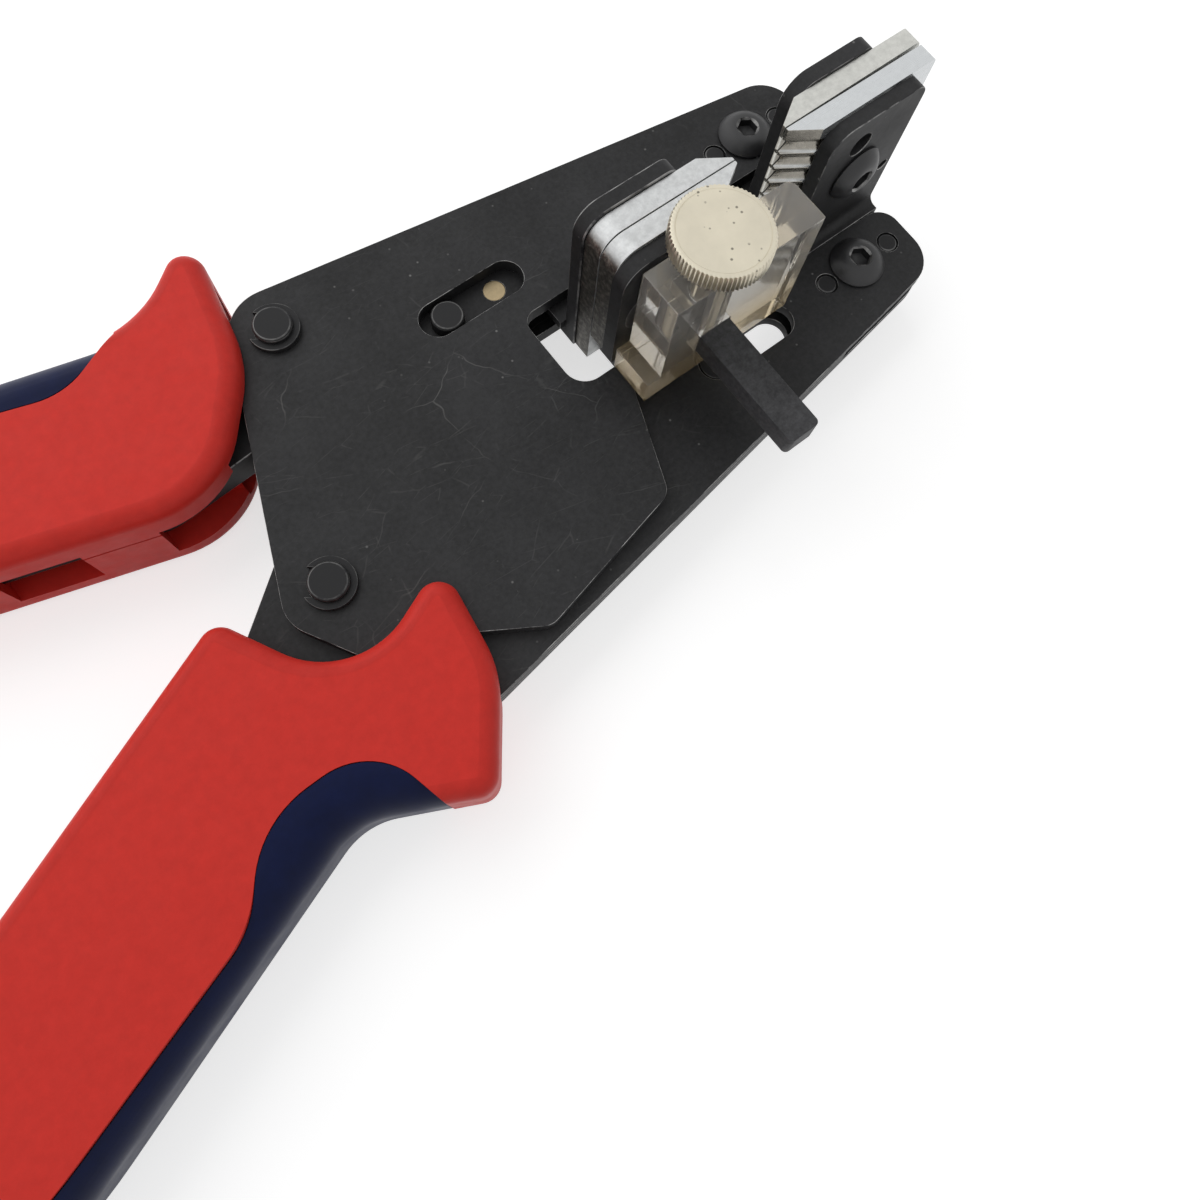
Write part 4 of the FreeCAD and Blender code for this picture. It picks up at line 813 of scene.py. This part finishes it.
def close_seam(name, side, reach, opening):
    """Bring the inner face of a blade nearer to the seam, by less towards its front.

    An opening of 1 leaves the tip where it is, and 0 moves the whole face.
    """
    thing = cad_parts[name]
    low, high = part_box(name)
    inner = low[1] if side > 0 else high[1]
    group = thing.vertex_groups.new(name="seam")
    for point in thing.data.vertices:
        if abs(point.co.y - inner) < FACE_REACH:
            ahead = (point.co.x - low[0]) / (high[0] - low[0])
            group.add([point.index], 1.0 - opening * ahead, "REPLACE")
    push = thing.modifiers.new("seam", "DISPLACE")
    push.direction = "Y"
    push.mid_level = 0.0
    push.strength = -reach * side
    push.vertex_group = "seam"


class STRIPPER_OT_plates(bpy.types.Operator):
    """Finish the frame plates, strip lever plates and the steel inside"""

    bl_idname = "stripper.plates"
    bl_label = "Finish plates"

    def execute(self, context):
        looks = context.scene.stripper_looks
        low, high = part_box("frame_plate_top")
        along, across = HANDLED_PLACE
        handled = (
            low[0] * (1.0 - along) + high[0] * along,
            low[1] * (1.0 - across) + high[1] * across,
            high[2],
        )
        steel = black_steel(looks, "black_steel", handled)
        inner = black_steel(looks, "inner_steel", lift=0.8)
        # Plate edges are lightened the most: partly wear, partly painted highlight
        edge = worn_and_glinting_edge(looks, "plate_edge", bare=4.6)
        for name in PLATES:
            dress(name, steel, edge, looks.plate_round)
        for name in HIDDEN_STEEL:
            dress(name, inner, edge, looks.edge_round)
        return {"FINISHED"}


class STRIPPER_OT_jaws(bpy.types.Operator):
    """Finish the jaw brackets and the grooved blades"""

    bl_idname = "stripper.jaws"
    bl_label = "Finish jaws"

    def execute(self, context):
        looks = context.scene.stripper_looks
        bracket = black_steel(looks, "bracket_steel", lift=0.9)
        edge = worn_and_glinting_edge(looks, "bracket_edge", bare=3.0)
        for name in BRACKETS:
            dress(name, bracket, edge, looks.bracket_round)
        # The last three numbers of each blade set where the painted shade on its rear-facing faces
        # starts and how dark it is
        grainy = ground_steel(
            looks, "blade_grainy", tint=(1.0, 1.0, 1.0), grain=1.0, rough=0.40,
            shade_from=-0.9, shade_level=1.35, shade_fleck=0.8,
        )
        warm = ground_steel(
            looks, "blade_warm", tint=(1.0, 0.985, 0.93), grain=0.8, rough=0.38,
            shade_from=-0.4, shade_level=2.2, shade_fleck=0.3,
        )
        smooth = ground_steel(
            looks, "blade_smooth", tint=(0.97, 0.985, 1.0), grain=0.12, rough=0.24,
            shade_from=-0.4, shade_level=2.8, shade_fleck=0.2,
        )
        blades = [
            ("far_rear_blade", grainy, 1, 0.0),
            ("near_rear_blade", grainy, -1, 0.0),
            ("far_front_blade", warm, 1, 1.0),
            ("near_front_blade", smooth, -1, 1.0),
        ]
        for name, finish, side, opening in blades:
            close_seam(name, side, looks.seam_close, opening)
            dress(name, finish, None, looks.fine_round)
        return {"FINISHED"}


def around(reach, turn, height):
    """A point at a reach and a turn from the Z axis."""
    return (reach * math.cos(turn), reach * math.sin(turn), height)


def ring(radius, height, count, depth=0.0, ridges=0):
    """Points round an axis, with rounded notches between ridges."""
    points = []
    for i in range(count):
        turn = FULL_TURN * i / count
        notch = 0.5 - 0.5 * math.cos(turn * ridges)
        points.append(around(radius - depth * notch, turn, height))
    return points


def hexagon(across, height, count):
    """Points round a hexagon, given across its flats."""
    points = []
    sixth = FULL_TURN / 6
    for i in range(count):
        turn = FULL_TURN * i / count
        reach = across / 2 / math.cos((turn + sixth / 2) % sixth - sixth / 2)
        points.append(around(reach, turn, height))
    return points


def thread_rings(knob, low, high, count):
    """Rings of a screw thread from a low to a high level."""
    rings = []
    steps = math.ceil((high - low) / knob.thread_pitch * THREAD_STEPS)
    for step in range(steps + 1):
        height = low + (high - low) * step / steps
        points = []
        for i in range(count):
            wave = (height / knob.thread_pitch - i / count) % 1.0
            reach = knob.thread_width / 2 - knob.thread_depth * abs(2.0 * wave - 1.0)
            points.append(around(reach, FULL_TURN * i / count, height))
        rings.append(points)
    return rings


def lathe(name, rings, *materials):
    """A closed piece through rings of equally many points, smooth between its sharp edges."""
    count = len(rings[0])
    points = [point for row in rings for point in row]
    faces = []
    for row in range(len(rings) - 1):
        for i in range(count):
            after = (i + 1) % count
            low, high = row * count, (row + 1) * count
            faces.append((low + i, low + after, high + after, high + i))
    faces.append(tuple(reversed(range(count))))
    faces.append(tuple(range(len(points) - count, len(points))))
    mesh = bpy.data.meshes.new(name)
    mesh.from_pydata(points, [], faces)
    for material in materials:
        mesh.materials.append(material)
    for polygon in mesh.polygons:
        polygon.use_smooth = True
    mesh.set_sharp_from_angle(angle=SMOOTH_ANGLE)
    thing = bpy.data.objects.new(name, mesh)
    bpy.context.scene.collection.objects.link(thing)
    return thing


def dome_rings(first, wide, flat, low, high):
    """Rings of a dome from its rim to the flat on top, along an arc that starts at an angle."""
    rings = []
    for step in range(DOME_STEPS + 1):
        angle = first + (math.pi / 2 - first) * step / DOME_STEPS
        reach = flat + (wide - flat) * math.cos(angle) / math.cos(first)
        rise = (math.sin(angle) - math.sin(first)) / (1.0 - math.sin(first))
        rings.append(ring(reach, low + (high - low) * rise, SCREW_SIDES))
    return rings


def domed_screw(screws, node, body, way, materials):
    """A button head screw with a hexagon socket, its head pointing along a way."""
    low, high = Vector(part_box(node)[0]), Vector(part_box(node)[1])
    size = high - low
    length = abs(size.dot(way))
    wide = max(size - Vector([length * abs(part) for part in way])) / 2
    shank = screws.shank_width / 2
    under = length - screws.head_height
    top = length - screws.head_drop
    rim = (top - under) * RIM_HEIGHT
    bend = screws.socket_depth * SOCKET_BEND
    floor = top - screws.socket_depth
    count = SCREW_SIDES
    rings = [
        ring(shank * POINT_WIDTH, 0.0, count),
        ring(shank, shank * POINT_LENGTH, count),
        ring(shank, under, count),
        ring(wide - rim * RIM_UNDERCUT, under, count),
    ]
    rings += dome_rings(screws.dome_start, wide, screws.head_flat / 2, under + rim, top)
    chamfer = len(rings)
    rings += [
        ring(screws.socket_chamfer / 2, top, count),
        hexagon(screws.socket_width, top - bend, count),
        hexagon(screws.socket_width, floor, count),
        ring(screws.socket_width * SOCKET_POINT, floor - bend, count),
    ]
    thing = lathe(node + "_domed", rings, *materials)
    turn = Vector((0, 0, 1)).rotation_difference(way).to_matrix()
    foot = (low + high) / 2 - way * length / 2
    for point in thing.data.vertices:
        point.co = foot + turn @ point.co
    for polygon in thing.data.polygons[chamfer * count:(chamfer + 1) * count]:
        polygon.material_index = 1
    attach(thing, body)
    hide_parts(node)


class STRIPPER_OT_fasteners(bpy.types.Operator):
    """Finish screws, nuts, pins, rings and rivets"""

    bl_idname = "stripper.fasteners"
    bl_label = "Finish fasteners"

    def execute(self, context):
        looks = context.scene.stripper_looks
        oxide = plain_metal("black_oxide", shade(looks.black, 1.7), metallic=0.0, rough=0.42)
        pin = plain_metal("pin_steel", shade(looks.black, 1.1), metallic=0.0, rough=0.52, gloss=0.25)
        bare = plain_metal("bare_steel", looks.worn, metallic=0.9, rough=0.35)
        brass = plain_metal("brass", looks.brass, metallic=0.9, rough=0.38, scale=1500.0)
        edge = worn_and_glinting_edge(looks, "screw_edge", bare=2.6)
        pin_edge = worn_and_glinting_edge(looks, "pin_edge", bare=1.3)
        for name in SUNK_SCREWS + NUTS:
            dress(name, oxide, edge, looks.fine_round)
        for name, body, way in DOMED_SCREWS:
            domed_screw(context.scene.stripper_screws, name, body, Vector(way), (oxide, edge))
        for name in PINS + RINGS:
            dress(name, pin, pin_edge, looks.fine_round)
        for name in INNER_STEEL:
            dress(name, bare)
        dress("slide_rivet", brass, None, looks.fine_round)
        return {"FINISHED"}


def coil_spring(springs, material):
    """The return spring of the far jaw, a coil with a closed turn at each end."""
    low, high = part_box("clamp_return_spring")
    wire = springs.wire / 2
    reach = (high[1] - low[1]) / 2 - wire
    across = (low[1] + high[1]) / 2
    level = (low[2] + high[2]) / 2
    length = high[0] - low[0]
    closed = springs.wire * CLOSED_PITCH
    pitch = (length - springs.wire - 2 * closed) / springs.open_turns
    turns = springs.open_turns + 2.0
    steps = math.ceil(turns * COIL_STEPS)
    rings = []
    along = low[0] + wire
    for step in range(steps + 1):
        done = turns * step / steps
        turn = FULL_TURN * done
        rise = pitch if 1.0 <= done < turns - 1.0 else closed
        outward = Vector((0.0, math.cos(turn), math.sin(turn)))
        ahead = Vector((rise / FULL_TURN, -reach * math.sin(turn), reach * math.cos(turn)))
        side = ahead.normalized().cross(outward)
        centre = Vector((along, across, level)) + outward * reach
        points = []
        for corner in range(WIRE_SIDES):
            angle = FULL_TURN * corner / WIRE_SIDES
            points.append(centre + (outward * math.cos(angle) + side * math.sin(angle)) * wire)
        rings.append(points)
        along += rise * turns / steps
    thing = lathe("clamp_coil_spring", rings, material)
    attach(thing, "frame")
    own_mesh(thing)
    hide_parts("clamp_return_spring")


def leaf_spring(springs, material):
    """The leaf of the strip lever, lying between the lever and the post."""
    low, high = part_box("strip_leaf_spring")
    edge = springs.leaf_edge
    level = (low[2] + high[2]) / 2
    half = (high[2] - low[2]) / 2
    tip = half * TIP_LENGTH
    straight = high[0] - tip
    rows = [(low[0] + (straight - low[0]) * step / LEAF_STEPS, 1.0) for step in range(LEAF_STEPS + 1)]
    for step in range(1, TIP_STEPS + 1):
        angle = TIP_SWEEP * step / TIP_STEPS
        rows.append((straight + tip * math.sin(angle) / math.sin(TIP_SWEEP), math.cos(angle)))
    rings = []
    for along, share in rows:
        reach = half * share
        cut = min(edge, reach / 2)
        outline = [
            (low[1] + edge, -reach),
            (high[1] - edge, -reach),
            (high[1], cut - reach),
            (high[1], reach - cut),
            (high[1] - edge, reach),
            (low[1] + edge, reach),
            (low[1], reach - cut),
            (low[1], cut - reach),
        ]
        rings.append([(along, y, level + z) for y, z in outline])
    thing = lathe("strip_leaf_blade", rings, material)
    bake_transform(thing)
    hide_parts("strip_leaf_spring")


class STRIPPER_OT_springs(bpy.types.Operator):
    """Make the return spring and the leaf spring"""

    bl_idname = "stripper.springs"
    bl_label = "Make springs"

    def execute(self, context):
        scene = context.scene
        steel = plain_metal("spring_steel", scene.stripper_looks.worn, metallic=0.9, rough=0.35)
        coil_spring(scene.stripper_springs, steel)
        leaf_spring(scene.stripper_springs, steel)
        return {"FINISHED"}


class STRIPPER_OT_grips(bpy.types.Operator):
    """Finish the red grips and their blue inlays"""

    bl_idname = "stripper.grips"
    bl_label = "Finish grips"

    def execute(self, context):
        looks = context.scene.stripper_looks
        red = red_plastic(looks)
        blue = blue_soft(looks)
        for name in GRIPS:
            dress(name, red, None, looks.grip_round, GRIP_CORNER)
            dress(name + "_inlay", blue, None, looks.grip_round, GRIP_CORNER)
        return {"FINISHED"}


def knurled_screw(knob, material):
    """The thumb screw with its thread, neck and knurled rim."""
    low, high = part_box("thumb_screw")
    centre = Vector(((low[0] + high[0]) / 2, (low[1] + high[1]) / 2, 0.0))
    wide = (high[0] - low[0]) / 2
    count = knob.ridges * RIDGE_POINTS
    top = high[2]
    under = top - knob.height
    seat = under - knob.neck_height
    cut = (count, knob.ridge_depth, knob.ridges)
    shallow = (count, knob.ridge_depth * SHALLOW_RIDGE, knob.ridges)
    inward, down = CHAMFER_ROUND
    groove = wide * GROOVE_PLACE
    slope = wide * GROOVE_SLOPE
    groove_floor = top - knob.chamfer * GROOVE_DEPTH
    rings = [ring(knob.thread_width / 2 * POINT_WIDTH, low[2], count)]
    rings += thread_rings(knob, low[2], seat, count)
    rings += [
        ring(knob.neck_width / 2, seat, count),
        ring(knob.neck_width / 2, under, count),
        ring(wide - knob.chamfer, under, *shallow),
        ring(wide, under + knob.chamfer, *cut),
        ring(wide, top - knob.chamfer, *cut),
        ring(wide - knob.chamfer * inward, top - knob.chamfer * down, *shallow),
        ring(wide - knob.chamfer * CHAMFER_END, top, count),
        ring(groove + slope * 2, top, count),
        ring(groove + slope, groove_floor, count),
        ring(groove - slope, groove_floor, count),
        ring(groove - slope * 2, top, count),
        ring(wide * CAP_MIDDLE, top, count),
    ]
    thing = lathe("knurled_thumb_screw", rings, material)
    for point in thing.data.vertices:
        point.co += centre
    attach(thing, "thumb")
    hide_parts("thumb_screw")


class STRIPPER_OT_stop(bpy.types.Operator):
    """Finish the length stop: bar, clear block and knurled thumb screw"""

    bl_idname = "stripper.stop"
    bl_label = "Finish length stop"

    def execute(self, context):
        looks = context.scene.stripper_looks
        # Painted light: the bar's black is lifted 3.6 times over the plates' black, for the light
        # that falls on its top
        lit_bar_black = black_steel(looks, "bar_black", lift=3.6)
        dress("stop_bar", lit_bar_black, None, looks.bracket_round)
        low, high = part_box("stop_block")
        dress("stop_block", clear_acrylic(looks, low[2], high[2]), None, looks.fine_round)
        knurled_screw(context.scene.stripper_knob, pitted_nickel(looks))
        return {"FINISHED"}


def seen_directly(tree, low, high):
    """A strength, high for what the camera, metal and glass see and low for other light."""
    path = tree.nodes.new("ShaderNodeLightPath")
    joined = path.outputs["Is Camera Ray"]
    for kind in ("Is Glossy Ray", "Is Transmission Ray"):
        either = tree.nodes.new("ShaderNodeMath")
        either.operation = "MAXIMUM"
        tree.links.new(joined, either.inputs[0])
        tree.links.new(path.outputs[kind], either.inputs[1])
        joined = either.outputs["Value"]
    strength = tree.nodes.new("ShaderNodeMapRange")
    strength.inputs["To Min"].default_value = low
    strength.inputs["To Max"].default_value = high
    tree.links.new(joined, strength.inputs["Value"])
    return strength.outputs["Result"]


def floor_material(stage):
    """Pale floor, whitened for the camera, metal and glass, with the shadow kept."""
    material = bpy.data.materials.new("floor")
    material.use_nodes = True
    tree = material.node_tree
    tree.nodes.clear()
    out = tree.nodes.new("ShaderNodeOutputMaterial")
    both = tree.nodes.new("ShaderNodeAddShader")
    pale = tree.nodes.new("ShaderNodeBsdfDiffuse")
    white = tree.nodes.new("ShaderNodeEmission")
    pale.inputs["Color"].default_value = solid(stage.floor_colour)
    white.inputs["Color"].default_value = WHITE
    tree.links.new(seen_directly(tree, 0.0, stage.floor_white), white.inputs["Strength"])
    tree.links.new(pale.outputs["BSDF"], both.inputs[0])
    tree.links.new(white.outputs["Emission"], both.inputs[1])
    tree.links.new(both.outputs["Shader"], out.inputs["Surface"])
    return material


def pale_floor(scene, stage):
    """A square floor under the tool."""
    half = stage.floor_reach
    corners = [(-half, -half, 0), (half, -half, 0), (half, half, 0), (-half, half, 0)]
    mesh = bpy.data.meshes.new("floor")
    mesh.from_pydata(corners, [], [(0, 1, 2, 3)])
    mesh.materials.append(floor_material(stage))
    floor = bpy.data.objects.new("floor", mesh)
    scene.collection.objects.link(floor)


def room(stage):
    """Even room light that the camera, metal and glass see as white."""
    world = bpy.data.worlds.new("room")
    world.use_nodes = True
    tree = world.node_tree
    back = tree.nodes["Background"]
    back.inputs["Color"].default_value = WHITE
    tree.links.new(seen_directly(tree, stage.sky, 1.0), back.inputs["Strength"])
    return world


def soft_lamp(scene, stage, name, power, mirrored):
    """A square soft light aimed at the tool, which surfaces mirror or not."""
    data = bpy.data.lights.new(name, "AREA")
    data.energy = power
    data.size = stage.lamp_size
    lamp = bpy.data.objects.new(name, data)
    place = Vector(stage.lamp_place)
    lamp.location = place
    lamp.rotation_euler = (Vector(stage.lamp_aim) - place).to_track_quat("-Z", "Y").to_euler()
    lamp.visible_glossy = mirrored
    scene.collection.objects.link(lamp)


def photo_camera(scene, stage):
    """The camera over the tool, at the angle of the photograph."""
    data = bpy.data.cameras.new("camera")
    data.lens = stage.lens
    data.sensor_width = SENSOR_WIDTH
    data.clip_start = NEAR_CLIP
    camera = bpy.data.objects.new("camera", data)
    back = Vector(stage.camera_back).normalized()
    up = back.cross(Vector(stage.camera_right)).normalized()
    turn = Matrix((up.cross(back), up, back)).transposed().to_4x4()
    camera.matrix_world = Matrix.Translation(stage.camera_place) @ turn
    scene.collection.objects.link(camera)
    scene.camera = camera


class STRIPPER_OT_stage(bpy.types.Operator):
    """Set up the floor, the soft lights and the camera"""

    bl_idname = "stripper.stage"
    bl_label = "Set up stage"

    def execute(self, context):
        scene = context.scene
        stage = scene.stripper_stage
        pale_floor(scene, stage)
        soft_lamp(scene, stage, "key", stage.key_power, mirrored=True)
        soft_lamp(scene, stage, "fill", stage.fill_power, mirrored=False)
        scene.world = room(stage)
        photo_camera(scene, stage)
        scene.view_settings.view_transform = "Standard"
        return {"FINISHED"}


class STRIPPER_PT_panel(bpy.types.Panel):
    """Sidebar panel with the sizes, colours and build steps"""

    bl_idname = "STRIPPER_PT_panel"
    bl_label = "Wire stripping pliers"
    bl_space_type = "VIEW_3D"
    bl_region_type = "UI"
    bl_category = "Pliers"

    def draw(self, context):
        layout = self.layout
        for name in GROUPS:
            group = getattr(context.scene, name)
            box = layout.box()
            for value in group.__annotations__:
                box.prop(group, value)
        for operator in OPERATORS:
            layout.operator(operator.bl_idname)


GROUPS = {
    "stripper_looks": StripperLooks,
    "stripper_screws": StripperScrews,
    "stripper_knob": StripperKnob,
    "stripper_springs": StripperSprings,
    "stripper_stage": StripperStage,
}

OPERATORS = [
    STRIPPER_OT_plates,
    STRIPPER_OT_jaws,
    STRIPPER_OT_fasteners,
    STRIPPER_OT_springs,
    STRIPPER_OT_grips,
    STRIPPER_OT_stop,
    STRIPPER_OT_stage,
]

CLASSES = [*GROUPS.values(), *OPERATORS, STRIPPER_PT_panel]


def register():
    for item in CLASSES:
        bpy.utils.register_class(item)
    for name, group in GROUPS.items():
        setattr(bpy.types.Scene, name, PointerProperty(type=group))


def unregister():
    for name in GROUPS:
        delattr(bpy.types.Scene, name)
    for item in reversed(CLASSES):
        bpy.utils.unregister_class(item)


def main():
    """Build every piece in order."""
    register()
    bpy.ops.stripper.plates()
    bpy.ops.stripper.jaws()
    bpy.ops.stripper.fasteners()
    bpy.ops.stripper.springs()
    bpy.ops.stripper.grips()
    bpy.ops.stripper.stop()
    bpy.ops.stripper.stage()


if __name__ == "__main__":
    main()
